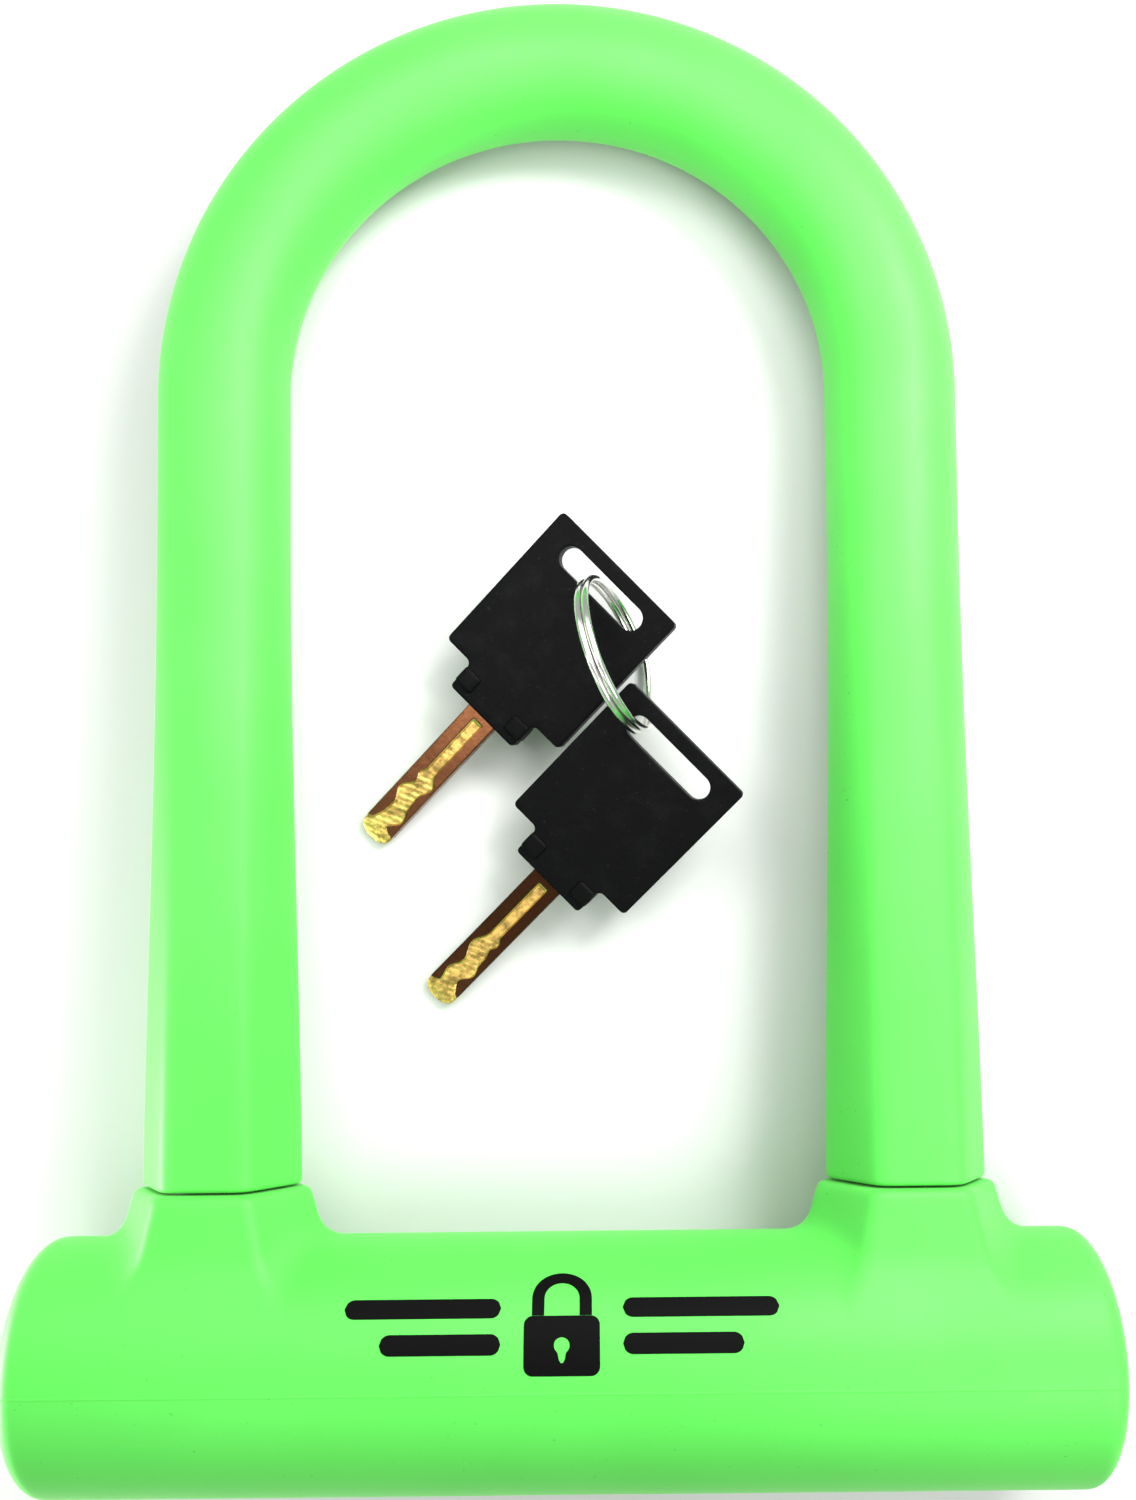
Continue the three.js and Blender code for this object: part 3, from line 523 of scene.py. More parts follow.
def build_shackle_skin(sizes):
    """One closed surface: the outside, the rim of one foot, the bore, and the rim of the other foot."""
    foot = sizes.seam_y + sizes.gap
    bore = sizes.rod_radius + sizes.gap
    angle = skin_angles()
    outer_line = shackle_line(sizes, foot + FOOT_EDGE, 90, 110)
    outside = skin_radius(sizes, angle, outer_line[:, 1:2], np.maximum(outer_line[:, 3:4], 0))
    seam = np.abs((angle + math.pi / 2) % math.pi - math.pi / 2)
    outside = outside + ridge(seam * sizes.leg_radius, 0.04 * MM, 0.16 * MM)
    rows = [sweep_points(outer_line, angle, outside)]
    inner_line = shackle_line(sizes, foot + FOOT_BORE_EDGE, 10, 40)
    inner = sweep_points(inner_line, angle, np.full((len(inner_line), 1), bore))

    def rim(side):
        quarter = np.linspace(0, math.pi / 2, 6)[1:]
        edge = skin_radius(sizes, angle, np.full((1, 1), foot), 0)
        rounded = edge - FOOT_EDGE * (1 - np.cos(quarter))[:, None]
        lip = bore + FOOT_BORE_EDGE * np.linspace(1, 0, 4)[:, None] * np.ones(len(angle))
        radii = np.concatenate([rounded, lip])
        drop = np.concatenate([
            FOOT_EDGE * (1 - np.sin(quarter)), FOOT_BORE_EDGE * np.linspace(0, 1, 4) ** 2])
        line = np.stack([np.full(len(drop), side * sizes.leg_x), foot + drop,
                         np.full(len(drop), float(side)), np.zeros(len(drop))], 1)
        return sweep_points(line, angle, radii)

    rows += [rim(1), inner[::-1], rim(-1)[::-1]]
    return Shell().grid(np.concatenate(rows), wrap_rows=True).mesh("shackle_skin", LOCK)


NOTCH_FLOOR = 1.9 * MM  # rod axis to the floor of the bolt's notch
NOTCH_LOW, NOTCH_HIGH = -3.3 * MM, 6.3 * MM
ROD_CHAMFER = 1.1 * MM


def build_shackle_rod(sizes):
    """Round steel with chamfered ends; in each notch the radius stops at a flat floor."""
    angle = np.arange(72) * TAU / 72
    low = sizes.rod_end_y
    wall = 0.05 * MM
    leg = np.concatenate([
        [low, low + 0.5 * ROD_CHAMFER, low + ROD_CHAMFER],
        np.linspace(low + 1.3 * ROD_CHAMFER, NOTCH_LOW - wall, 8),
        np.linspace(NOTCH_LOW, NOTCH_HIGH, 24), np.linspace(NOTCH_HIGH + wall, 40 * MM, 16),
        np.linspace(50 * MM, sizes.bend_y, 6, endpoint=False)])
    turn = math.pi * (1 - np.linspace(0, 1, 48))
    left = np.stack([np.full(len(leg), -sizes.leg_x), leg, -np.ones(len(leg)), np.zeros(len(leg))], 1)
    arc = np.stack([sizes.leg_x * np.cos(turn), sizes.bend_y + sizes.leg_x * np.sin(turn),
                    np.cos(turn), np.sin(turn)], 1)
    line = np.concatenate([left, arc, left[::-1] * np.array([-1, 1, -1, 1])])
    from_end = np.clip((line[:, 1:2] - low) / ROD_CHAMFER, 0, 1)
    radius = sizes.rod_radius - ROD_CHAMFER * (1 - np.sqrt(1 - (1 - from_end) ** 2)) + 0 * angle
    within = (line[:, 1:2] >= NOTCH_LOW) & (line[:, 1:2] <= NOTCH_HIGH)
    inward = np.maximum(-np.cos(angle), 1e-6)
    notched = np.minimum(radius, NOTCH_FLOOR / inward)
    radius = np.where(within & (np.cos(angle) < 0), notched, radius)
    points = sweep_points(line, angle, radius)
    return Shell().grid(points, cap_start=True, cap_end=True).mesh("shackle_steel", LOCK)


# ---- printed mark ---------------------------------------------------------------------------

MARK_ANGLE = math.radians(61)  # middle of the mark, from +Y towards +Z
INK_HEIGHT = 0.06 * MM
INK_ROOT = -0.15 * MM


def on_bar(sizes, across, upward, height):
    """Wraps a flat drawing round the bar: x stays, and upward becomes an arc towards the shackle."""
    turn = MARK_ANGLE - upward / sizes.bar_radius
    radius = sizes.bar_radius + height
    return np.stack([across + 0 * turn, radius * np.cos(turn), radius * np.sin(turn)], -1)


def ink_bar(shell, sizes, start, end, level, half_height):
    """A long bar with round ends, drawn as strips across its length."""
    steps = 60
    x = np.linspace(start, end, steps)
    from_end = np.minimum(x - start, end - x)
    tall = half_height * np.sqrt(np.clip(1 - (1 - np.clip(from_end / half_height, 0, 1)) ** 2, 0.0004, 1))
    rim = np.array([[-1, INK_HEIGHT], [-0.5, INK_HEIGHT], [0, INK_HEIGHT], [0.5, INK_HEIGHT],
                    [1, INK_HEIGHT], [1, INK_ROOT], [0, INK_ROOT], [-1, INK_ROOT]])
    y = level + tall[:, None] * rim[:, 0]
    points = on_bar(sizes, x[:, None] + 0 * y, y, rim[:, 1] + 0 * y)
    shell.grid(points, cap_start=True, cap_end=True)


def ink_stroke(shell, sizes, centre, path, half_width):
    """A line of even width along a path of x, y points, with square ends."""
    ahead = np.gradient(path, axis=0)
    ahead /= np.linalg.norm(ahead, axis=1)[:, None]
    normal = np.stack([-ahead[:, 1], ahead[:, 0]], 1)
    rim = np.array([[-1, INK_HEIGHT], [-0.3, INK_HEIGHT], [0.3, INK_HEIGHT], [1, INK_HEIGHT],
                    [1, INK_ROOT], [-1, INK_ROOT]])
    offset = rim[:, 0][None, :, None] * half_width * normal[:, None, :]
    points = path[:, None, :] + offset + np.array(centre)
    shell.grid(on_bar(sizes, points[..., 0], points[..., 1], rim[:, 1] + 0 * points[..., 0]),
               cap_start=True, cap_end=True)


def build_printed_mark(sizes):
    """A plain padlock sign between two pairs of bars."""
    shell = Shell()
    body_half, body_low, body_high = 4.6 * MM, -6.2 * MM, 0.9 * MM
    outline = rounded_outline(
        [(-body_half, body_low), (body_half, body_low), (body_half, body_high), (-body_half, body_high)],
        [1.1 * MM] * 4, 8, 0.5 * MM)
    middle = np.array([0, (body_low + body_high) / 2])
    spread = outline - middle
    angle = np.arctan2(spread[:, 1], spread[:, 0])
    keyhole = 0.95 * MM + 1.15 * MM * np.exp(-((angle + math.pi / 2) / 0.32) ** 2)
    outer = np.hypot(spread[:, 0], spread[:, 1])
    rings = [(0.0, INK_ROOT), (0.0, INK_HEIGHT)] + [(share, INK_HEIGHT) for share in np.linspace(0.1, 1, 9)]
    rings.append((1.0, INK_ROOT))
    share = np.array([ring[0] for ring in rings])[:, None]
    height = np.array([ring[1] for ring in rings])[:, None]
    radius = lerp(keyhole, outer, share)
    x, y = middle[0] + radius * np.cos(angle), middle[1] + radius * np.sin(angle)
    shell.grid(on_bar(sizes, x, y, height + 0 * radius), wrap_rows=True)
    arch_half, arch_top = 2.9 * MM, 3.1 * MM
    turn = np.linspace(math.pi, 0, 28)
    arch = np.stack([arch_half * np.cos(turn), arch_top + arch_half * np.sin(turn)], 1)
    foot_rise = np.linspace(body_high + 0.05 * MM, arch_top, 5, endpoint=False)
    foot_left = np.stack([np.full(5, -arch_half), foot_rise], 1)
    foot_right = foot_left[::-1] * np.array([-1, 1])
    ink_stroke(shell, sizes, (0, 0), np.concatenate([foot_left, arch, foot_right]), 0.75 * MM)
    for side in (-1, 1):
        for near, far, level in ((7.4, 26.5, 1.9), (7.4, 22.0, -2.5)):
            ends = sorted((side * near * MM, side * far * MM))
            ink_bar(shell, sizes, ends[0], ends[1], level * MM, 1.25 * MM)
    return shell.mesh("printed_mark", LOCK)


# ---- bezel, dust cover and its rivet ----------------------------------------------------------

KEYHOLE_RADIUS = 3.2 * MM
NOSE_CLEARANCE = 4.3 * MM
NECK_RADIUS = 5.9 * MM
NECK_END = 12.0 * MM
BEZEL_SHELF = 14.6 * MM
COVER_BACK, COVER_FRONT = 15.5 * MM, 16.0 * MM
COVER_RADIUS = 3.7 * MM
COVER_TAIL_RADIUS = 0.85 * MM
COVER_PIVOT_Z = -5.1 * MM
RIVET_HEAD, RIVET_SHANK = 0.9 * MM, 0.45 * MM  # radii
RIVET_SEAT, RIVET_FOOT = 16.05 * MM, 13.7 * MM  # bar axis to the underside of its head, and to its end
RIVET_DOME = 0.4 * MM


def build_bezel(sizes):
    """A ring surface: face, outer edge, curved back, neck, bore and chamfered keyhole, closed on itself."""
    angle = np.arange(160) * TAU / 160
    x, z = bezel_outline(angle)
    rim = np.hypot(x, z)
    bevel = 0.4 * MM
    clear = sizes.tube_clearance + 0.05 * MM
    profile = []

    def ring(radius, depth):
        radius = radius + 0 * angle
        profile.append(np.stack([radius * np.cos(angle), -(depth + 0 * angle), radius * np.sin(angle)], -1))

    def back(radius):
        return np.sqrt(clear ** 2 - (radius * np.sin(angle)) ** 2)

    for share in np.linspace(0, 1, 8):
        ring(lerp(KEYHOLE_RADIUS + bevel, rim - bevel, share), BEZEL_FACE)
    ring(rim - 0.3 * bevel, BEZEL_FACE - 0.3 * bevel)
    ring(rim, BEZEL_FACE - bevel)
    ring(rim, np.minimum(back(rim), BEZEL_FACE - 1.5 * bevel))
    ring(NECK_RADIUS, np.minimum(back(NECK_RADIUS), BEZEL_FACE - 1.5 * bevel))
    ring(NECK_RADIUS, NECK_END)
    ring(NOSE_CLEARANCE, NECK_END)
    ring(NOSE_CLEARANCE, BEZEL_SHELF)
    ring(KEYHOLE_RADIUS, BEZEL_SHELF)
    ring(KEYHOLE_RADIUS, BEZEL_FACE - bevel)
    return Shell().grid(np.stack(profile), wrap_rows=True).mesh("keyhole_bezel_trim", LOCK)


def build_dust_cover():
    """A drop-shaped plate: each rim point is the furthest of two discs in its direction."""
    angle = np.arange(144) * TAU / 144
    x, z = np.cos(angle), np.sin(angle)
    on_disc = COVER_RADIUS >= COVER_TAIL_RADIUS + COVER_PIVOT_Z * z
    rim_x = np.where(on_disc, COVER_RADIUS * x, COVER_TAIL_RADIUS * x)
    rim_z = np.where(on_disc, COVER_RADIUS * z, COVER_PIVOT_Z + COVER_TAIL_RADIUS * z)
    bevel = 0.12 * MM
    steps = [(0.1, COVER_BACK), (0.6, COVER_BACK), (0.96, COVER_BACK), (1.0, COVER_BACK + bevel),
             (1.0, COVER_FRONT - bevel), (0.96, COVER_FRONT), (0.82, COVER_FRONT),
             (0.78, COVER_FRONT - bevel),
             (0.4, COVER_FRONT - bevel), (0.1, COVER_FRONT - bevel)]
    rows = [np.stack([share * rim_x, -depth + 0 * x, share * rim_z], -1) for share, depth in steps]
    return Shell().grid(np.stack(rows), cap_start=True, cap_end=True).mesh("dust_cover_plate", LOCK)


def build_cover_rivet():
    """A domed rivet: a quarter ellipse on a short shank."""
    turn = np.linspace(0.06, 1, 9) * math.pi / 2
    radii = np.concatenate([RIVET_HEAD * np.sin(turn), [RIVET_HEAD, RIVET_SHANK, RIVET_SHANK]])
    dome = RIVET_SEAT + 0.05 * MM + RIVET_DOME * np.cos(turn)
    depths = np.concatenate([dome, [RIVET_SEAT, RIVET_SEAT, RIVET_FOOT]])
    points = lathe_y(-depths, radii, 0.0, COVER_PIVOT_Z, 48)
    return Shell().grid(points, cap_start=True, cap_end=True).mesh("dust_cover_rivet", LOCK)


# ---- keys and ring --------------------------------------------------------------------------

RING_JOG = math.radians(25)  # half of the arc in which the wire changes turns
RING_JOG_AT = math.radians(250)
HEAD_CORNER = 0.7 * MM
HEAD_BEVEL = 0.28 * MM
COLLAR_CORNER = 0.6 * MM
NECK_FILLET = 0.9 * MM
PAD_HALF = (1.35 * MM, 1.5 * MM)
PAD_RISE = 0.45 * MM
BLADE_TANG = 11.9 * MM  # how far the blade goes on inside the head
BLADE_SHARP_DEGREES = 50
WAVY_FROM, WAVY_FULL = 0.44, 0.52  # shares of the blade's length where the track begins to wind


def head_outline(sizes):
    low, high = -sizes.slot_edge, sizes.head_length - sizes.slot_edge
    half, collar = sizes.head_width / 2, sizes.collar_width / 2
    end = high + sizes.collar_length
    corners = [(low, -half), (high, -half), (high, -collar), (end, -collar),
               (end, collar), (high, collar), (high, half), (low, half)]
    radii = [HEAD_CORNER, HEAD_CORNER, NECK_FILLET, COLLAR_CORNER,
             COLLAR_CORNER, NECK_FILLET, HEAD_CORNER, HEAD_CORNER]
    return rounded_outline(corners, radii, 7, 0.45 * MM)


def superellipsoid(centre, half, power):
    """A rounded block: |x/a|^p + |y/b|^p + |z/c|^p = 1, drawn from pole to pole."""
    polar = np.linspace(0.04, 0.96, 24) * math.pi
    turn = np.arange(48) * TAU / 48

    def signed(value):
        return np.sign(value) * np.abs(value) ** (2 / power)

    ring = signed(np.sin(polar))[:, None]
    x = half[0] * ring * signed(np.cos(turn))
    y = half[1] * ring * signed(np.sin(turn))
    z = half[2] * signed(np.cos(polar))[:, None] + 0 * x
    return np.stack([x, y, z], -1) + np.array(centre)


def build_key_head(sizes, placement):
    """A ring surface between the slot and the outline: slot wall, top, edge, bottom, closed on itself."""
    outline = head_outline(sizes)
    angle = np.arctan2(outline[:, 1], outline[:, 0])
    outer = np.hypot(outline[:, 0], outline[:, 1])
    inner = stadium_radius(angle, (sizes.slot_length - sizes.slot_width) / 2, sizes.slot_width / 2)
    half = sizes.head_thickness / 2
    turn = np.linspace(0, math.pi / 2, 5)
    edge = [(HEAD_BEVEL * (1 - math.sin(t)), half - HEAD_BEVEL * (1 - math.cos(t))) for t in turn]
    upper = [("inner", inset, height) for inset, height in edge[::-1]]
    upper += [("between", share, half) for share in np.linspace(0, 1, 22)[1:-1]]
    upper += [("outer", inset, height) for inset, height in edge]
    upper += [("outer", 0.0, half * share) for share in (0.5,)]
    lower = [(kind, amount, -height) for kind, amount, height in upper[::-1]]
    rows = []
    for kind, amount, height in upper + lower:
        if kind == "inner":
            radius = inner + amount
        elif kind == "outer":
            radius = outer - amount
        else:
            radius = lerp(inner + HEAD_BEVEL, outer - HEAD_BEVEL, amount)
        rows.append(np.stack([radius * np.cos(angle), radius * np.sin(angle), height + 0 * angle], -1))
    shell = Shell().grid(np.stack(rows), wrap_rows=True)
    collar_middle = sizes.head_length - sizes.slot_edge + sizes.collar_length / 2
    for side in (-1, 1):
        centre = (collar_middle - 0.2 * MM, side * (sizes.collar_width / 2 - PAD_HALF[1] + 0.15 * MM), 0)
        shell.grid(superellipsoid(centre, (PAD_HALF[0], PAD_HALF[1], half + PAD_RISE), 7),
                   cap_start=True, cap_end=True)
    return shell.mesh("key_head", placement)


def track_mask(sizes, x, y, phase):
    """1 on the milled floor: a straight groove, then a winding track, then the whole face at the tip."""
    start = sizes.head_length - sizes.slot_edge + sizes.collar_length
    along = (x - start) / sizes.blade_length
    winding = smooth_step(along, WAVY_FROM, WAVY_FULL)
    wave = np.sin(along * 26 + phase) + 0.25 * np.sin(along * 47 + 2.1 * phase)
    centre = 0.15 * MM + winding * 0.42 * MM * wave
    half = 0.74 * MM + winding * (0.56 + 0.16 * np.sin(along * 41 + phase)) * MM
    half = half + smooth_step(along, 0.88, 0.95) * 3 * MM
    opened = smooth_step(along, 0.035, 0.06)
    return opened * smooth_step(half - np.abs(y - centre), -0.1 * MM, 0.14 * MM)


def build_key_blade(sizes, placement, phase):
    """Sections of the blade along its length; both faces carry the milled track."""
    start = sizes.head_length - sizes.slot_edge + sizes.collar_length
    tip = start + sizes.blade_length
    half, thick = sizes.blade_width / 2, sizes.blade_thickness / 2
    nose = half * 0.8
    back = np.linspace(0, 1, 20)
    stations = np.concatenate([
        [start - BLADE_TANG, start - 6 * MM], np.linspace(start - 0.4 * MM, tip - nose, 240),
        tip - nose * (1 - np.sin(back[1:] * math.pi / 2 * 0.985))])
    into = np.clip((stations - tip + nose) / nose, 0, 1)
    width = half * (1 - into ** 2.4) ** (1 / 2.4)
    width = np.maximum(width, 0.05 * half)[:, None]
    across = np.sin(np.linspace(-1, 1, 61) * math.pi / 2)
    across = np.sign(across) * np.abs(across) ** 0.9
    y = width * across
    x = stations[:, None] + 0 * y
    mask = track_mask(sizes, x, y, phase)
    edge = thick * (1 - 0.16 * smooth_step(np.abs(across), 0.93, 1.0))
    rough = smooth_step((x - start) / sizes.blade_length, WAVY_FROM, WAVY_FULL)
    grain = 0.03 * MM * np.sin(x / MM * 7 + y / MM * 3) * mask * rough
    z = edge * (1 - 0.45 * into[:, None] ** 2) - sizes.track_depth * mask + grain
    top = np.stack([x, y, z], -1)
    bottom = np.stack([x, y[:, ::-1], -z[:, ::-1]], -1)
    points = np.concatenate([top, bottom], 1)
    shade = np.concatenate([mask, mask[:, ::-1]], 1)
    shell = Shell().grid(points, cap_start=True, cap_end=True, mask=shade)
    return shell.mesh("key_blade", placement)


def build_ring(sizes):
    """Two flat turns of round wire, joined by a smooth step from one turn to the other."""
    steps = 420
    turned = np.linspace(RING_JOG, 2 * TAU - RING_JOG, steps)
    turn = RING_JOG_AT + turned
    height = (smooth_step(turned, TAU - RING_JOG, TAU + RING_JOG) - 0.5) * sizes.coil_pitch
    centre = np.stack([sizes.ring_radius * np.cos(turn), sizes.ring_radius * np.sin(turn), height], 1)
    outward = np.stack([np.cos(turn), np.sin(turn), 0 * turn], 1)
    around = np.arange(20) * TAU / 20
    arc = (turned - RING_JOG) * sizes.ring_radius
    from_end = np.minimum(arc, arc[-1] - arc) / (0.35 * MM)
    thin = np.sqrt(1 - (1 - np.clip(from_end, 0.05, 1)) ** 2)[:, None, None]
    wire = sizes.wire_radius * thin
    axis = np.array([0, 0, 1.0])
    points = centre[:, None] + wire * (np.cos(around)[None, :, None] * outward[:, None]
                                       + np.sin(around)[None, :, None] * axis)
    shell = Shell().grid(points, cap_start=True, cap_end=True)
    return shell.mesh("ring_wire", ring_placement(sizes.ring_rise))


# ---- materials ------------------------------------------------------------------------------

class Value:
    """A number socket that can be used in Python arithmetic."""

    def __init__(self, maker, socket):
        self.maker, self.socket = maker, socket

    def _math(self, operation, *others):
        return self.maker.number("ShaderNodeMath", {"operation": operation}, *others)

    def __add__(self, other):
        return self._math("ADD", self, other)

    __radd__ = __add__

    def __sub__(self, other):
        return self._math("SUBTRACT", self, other)

    def __rsub__(self, other):
        return self._math("SUBTRACT", other, self)

    def __mul__(self, other):
        return self._math("MULTIPLY", self, other)

    __rmul__ = __mul__

    def __pow__(self, other):
        return self._math("POWER", self, other)


class Maker:
    """Builds one material's nodes."""

    def __init__(self, name):
        self.material = bpy.data.materials.new(name)
        self.material.use_nodes = True
        self.tree = self.material.node_tree
        self.shader = next(node for node in self.tree.nodes if node.type == "BSDF_PRINCIPLED")
        self.place = self.node("ShaderNodeTexCoord").outputs["Object"]

    def node(self, kind, settings=None, **inputs):
        """Adds a node: settings first, then values or links for its sockets, by name or number."""
        node = self.tree.nodes.new(kind)
        for key, value in (settings or {}).items():
            if key == "stops":
                self._stops(node, value)
            else:
                setattr(node, key, value)
        for key, value in inputs.items():
            self.connect(node.inputs[int(key[1:]) if key[0] == "i" and key[1:].isdigit() else key], value)
        return node

    @staticmethod
    def _stops(node, stops):
        ramp = node.color_ramp
        while len(ramp.elements) < len(stops):
            ramp.elements.new(0.5)
        for element, (position, shade) in zip(ramp.elements, stops):
            element.position = position
            element.color = (shade, shade, shade, 1)

    def connect(self, socket, value):
        if isinstance(value, Value):
            self.tree.links.new(value.socket, socket)
        elif isinstance(value, bpy.types.NodeSocket):
            self.tree.links.new(value, socket)
        else:
            socket.default_value = value

    def number(self, kind, settings, *values):
        node = self.node(kind, settings)
        for index, value in enumerate(values):
            self.connect(node.inputs[index], value)
        return Value(self, node.outputs[0])

    def noise(self, scale, detail=3.0, roughness=0.55, stretch=None):
        place = self.place
        if stretch is not None:
            place = self.node("ShaderNodeMapping", None, Vector=place, Scale=stretch).outputs[0]
        node = self.node("ShaderNodeTexNoise", None, Vector=place, Scale=scale, Detail=detail,
                         Roughness=roughness)
        return Value(self, node.outputs["Fac"])

    def ramp(self, value, *stops):
        node = self.node("ShaderNodeValToRGB", {"stops": stops}, Fac=value)
        return Value(self, node.outputs["Color"])

    def mix(self, factor, first, second):
        node = self.node("ShaderNodeMix", {"data_type": "RGBA"}, Factor=factor)
        self.connect(node.inputs[6], first)
        self.connect(node.inputs[7], second)
        return node.outputs[2]

    def bump(self, height, strength, distance, below=None):
        inputs = {"Height": height, "Strength": strength, "Distance": distance}
        if below is not None:
            inputs["Normal"] = below
        return self.node("ShaderNodeBump", None, **inputs).outputs[0]

    def surface(self, **sockets):
        for key, value in sockets.items():
            self.connect(self.shader.inputs[key.replace("_", " ")], value)
        return self.material


def darker(shade, share):
    return (shade[0] * share, shade[1] * share, shade[2] * share, 1)


def neon_rubber(colours):
    """Matte silicone: slow colour drift, settled dust in the pores, and a very fine grain."""
    make = Maker("neon_rubber")
    drift = make.ramp(make.noise(38, 2.0), (0.35, 0.0), (0.7, 1.0))
    grain = make.noise(2600, 2.0)
    pores = make.noise(900, 3.0, 0.6)
    specks = make.ramp(make.noise(1500, 1.0), (0.75, 0.0), (0.79, 1.0))
    base = make.mix(drift * 0.55, tuple(colours.neon), tuple(colours.neon_deep))
    base = make.mix(specks * 0.35, base, darker(colours.neon_deep, 0.35))
    normal = make.bump(pores, 0.10, 0.0002)
    normal = make.bump(grain, 0.12, 0.00008, normal)
    return make.surface(
        Base_Color=base, Roughness=0.47 + drift * 0.05 + grain * 0.08, Normal=normal,
        Specular_IOR_Level=0.35, Sheen_Weight=0.26, Sheen_Roughness=0.45, Sheen_Tint=(0.62, 1.0, 0.5, 1.0))


def steel(name, shade, roughness, stretch):
    """Ground steel: fine lines along one direction over faint clouding."""
    make = Maker(name)
    lines = make.noise(1, 2.0, 0.5, stretch)
    cloud = make.noise(160, 3.0)
    base = make.mix(cloud * 0.5, shade, darker(shade, 0.72))
    normal = make.bump(lines, 0.12, 0.00005)
    return make.surface(Base_Color=base, Metallic=1.0, Roughness=roughness + lines * 0.16, Normal=normal)


def hard_steel(_colours):
    return steel("hard_steel", (0.56, 0.57, 0.58, 1), 0.2, (5000, 300, 5000))


def bright_wire(_colours):
    return steel("bright_wire", (0.78, 0.77, 0.74, 1), 0.1, (900, 900, 900))


def dark_steel(_colours):
    """Black-oxide steel with brighter rubbed patches."""
    make = Maker("dark_steel")
    rub = make.ramp(make.noise(420, 4.0, 0.6), (0.5, 0.0), (0.78, 1.0))
    grain = make.noise(3000, 2.0)
    base = make.mix(rub * 0.4, (0.035, 0.036, 0.04, 1), (0.2, 0.2, 0.21, 1))
    return make.surface(Base_Color=base, Metallic=0.9, Roughness=0.34 + grain * 0.16,
                        Normal=make.bump(grain, 0.1, 0.00006))


def cast_zinc(_colours):
    """Die-cast zinc: dull, with a pebbled skin."""
    make = Maker("cast_zinc")
    pebble = make.noise(1800, 3.0, 0.6)
    cloud = make.noise(120, 3.0)
    base = make.mix(cloud, (0.42, 0.43, 0.45, 1), (0.28, 0.29, 0.31, 1))
    return make.surface(Base_Color=base, Metallic=0.9, Roughness=0.42 + pebble * 0.2,
                        Normal=make.bump(pebble, 0.25, 0.0001))


def plug_brass(colours):
    """Turned brass with fine tool rings and slight tarnish."""
    make = Maker("plug_brass")
    rings = make.noise(1, 2.0, 0.5, (400, 6000, 400))
    tarnish = make.ramp(make.noise(240, 4.0), (0.45, 0.0), (0.75, 1.0))
    base = make.mix(tarnish * 0.5, tuple(colours.milled), darker(colours.milled, 0.45))
    return make.surface(Base_Color=base, Metallic=1.0, Roughness=0.22 + rings * 0.18,
                        Normal=make.bump(rings, 0.12, 0.00005))


def blade(name, colours, depth):
    """Bronze blank, scaled darker by a factor given for each blade; the milled track is bright, coarse and gold,
    with a painted highlight along its walls.
    """
    make = Maker(name)
    cut = Value(make, make.node("ShaderNodeAttribute", {"attribute_name": "mask"}).outputs["Fac"])
    chatter = make.noise(1, 3.0, 0.6, (1500, 1500, 5000))
    cloud = make.noise(700, 4.0, 0.65)
    # Painted highlight: where the mask is between 0.05 and 0.75, the track's walls are painted a pale gold.
    rim = make.ramp(cut, (0.05, 0.0), (0.4, 1.0), (0.75, 0.0))
    blank = make.mix(cloud, darker(colours.bronze, depth), darker(colours.bronze, depth * 0.4))
    patches = make.ramp(cloud, (0.4, 0.0), (0.62, 1.0))
    milled = make.mix(patches, tuple(colours.milled), darker(colours.milled, 0.36))
    base = make.mix(rim, make.mix(cut, blank, milled), (0.95, 0.75, 0.36, 1))
    normal = make.bump(chatter * cut + cloud * 0.25, 0.5, 0.00022)
    return make.surface(Base_Color=base, Metallic=1.0, Normal=normal,
                        Roughness=0.22 + cut * 0.14 + cloud * 0.1)


def blade_bronze(colours):
    return blade("blade_bronze", colours, 0.9)


# A darker copy of the same bronze for the second key's blade: its blank is scaled by 0.3, where the first key's is
# scaled by 0.9.
def blade_dark(colours):
    return blade("blade_dark", colours, 0.3)


def black_plastic(colours):
    """Spark-eroded moulded plastic: a fine even grain, rubbed a little lighter in places."""
    make = Maker("black_plastic")
    grain = make.noise(2400, 2.0, 0.5)
    rub = make.ramp(make.noise(260, 4.0, 0.65), (0.5, 0.0), (0.8, 1.0))
    dust = make.ramp(make.noise(1700, 1.0), (0.72, 0.0), (0.78, 1.0))
    base = make.mix(rub * 0.5, tuple(colours.plastic), (0.008, 0.008, 0.009, 1))
    base = make.mix(dust * 0.3, base, (0.03, 0.03, 0.03, 1))
    return make.surface(Base_Color=base, Roughness=0.36 + grain * 0.16 - rub * 0.06,
                        Normal=make.bump(grain, 0.35, 0.00012), Specular_IOR_Level=0.05)


def print_ink(colours):
    """Pad-printed ink: flat black, with the rubber's grain showing through."""
    make = Maker("print_ink")
    grain = make.noise(2600, 2.0)
    wear = make.ramp(make.noise(1400, 3.0), (0.68, 0.0), (0.76, 1.0))
    base = make.mix(wear * 0.3, tuple(colours.ink), (0.005, 0.008, 0.005, 1))
    return make.surface(Base_Color=base, Roughness=0.5 + grain * 0.14,
                        Normal=make.bump(grain, 0.12, 0.00008), Specular_IOR_Level=0.06)


FINISHES = {
    "neon_rubber": neon_rubber, "hard_steel": hard_steel, "bright_wire": bright_wire,
    "dark_steel": dark_steel, "cast_zinc": cast_zinc, "plug_brass": plug_brass,
    "blade_bronze": blade_bronze, "blade_dark": blade_dark, "black_plastic": black_plastic,
    "print_ink": print_ink,
}


def finish(slot):
    """The finish made for a slot; it is made once and shared."""
    name = f"{slot}_finish"
    if name not in bpy.data.materials:
        made = FINISHES[slot](bpy.context.scene.ulock_colours)
        made.name = name
    return bpy.data.materials[name]


# ---- operators ------------------------------------------------------------------------------

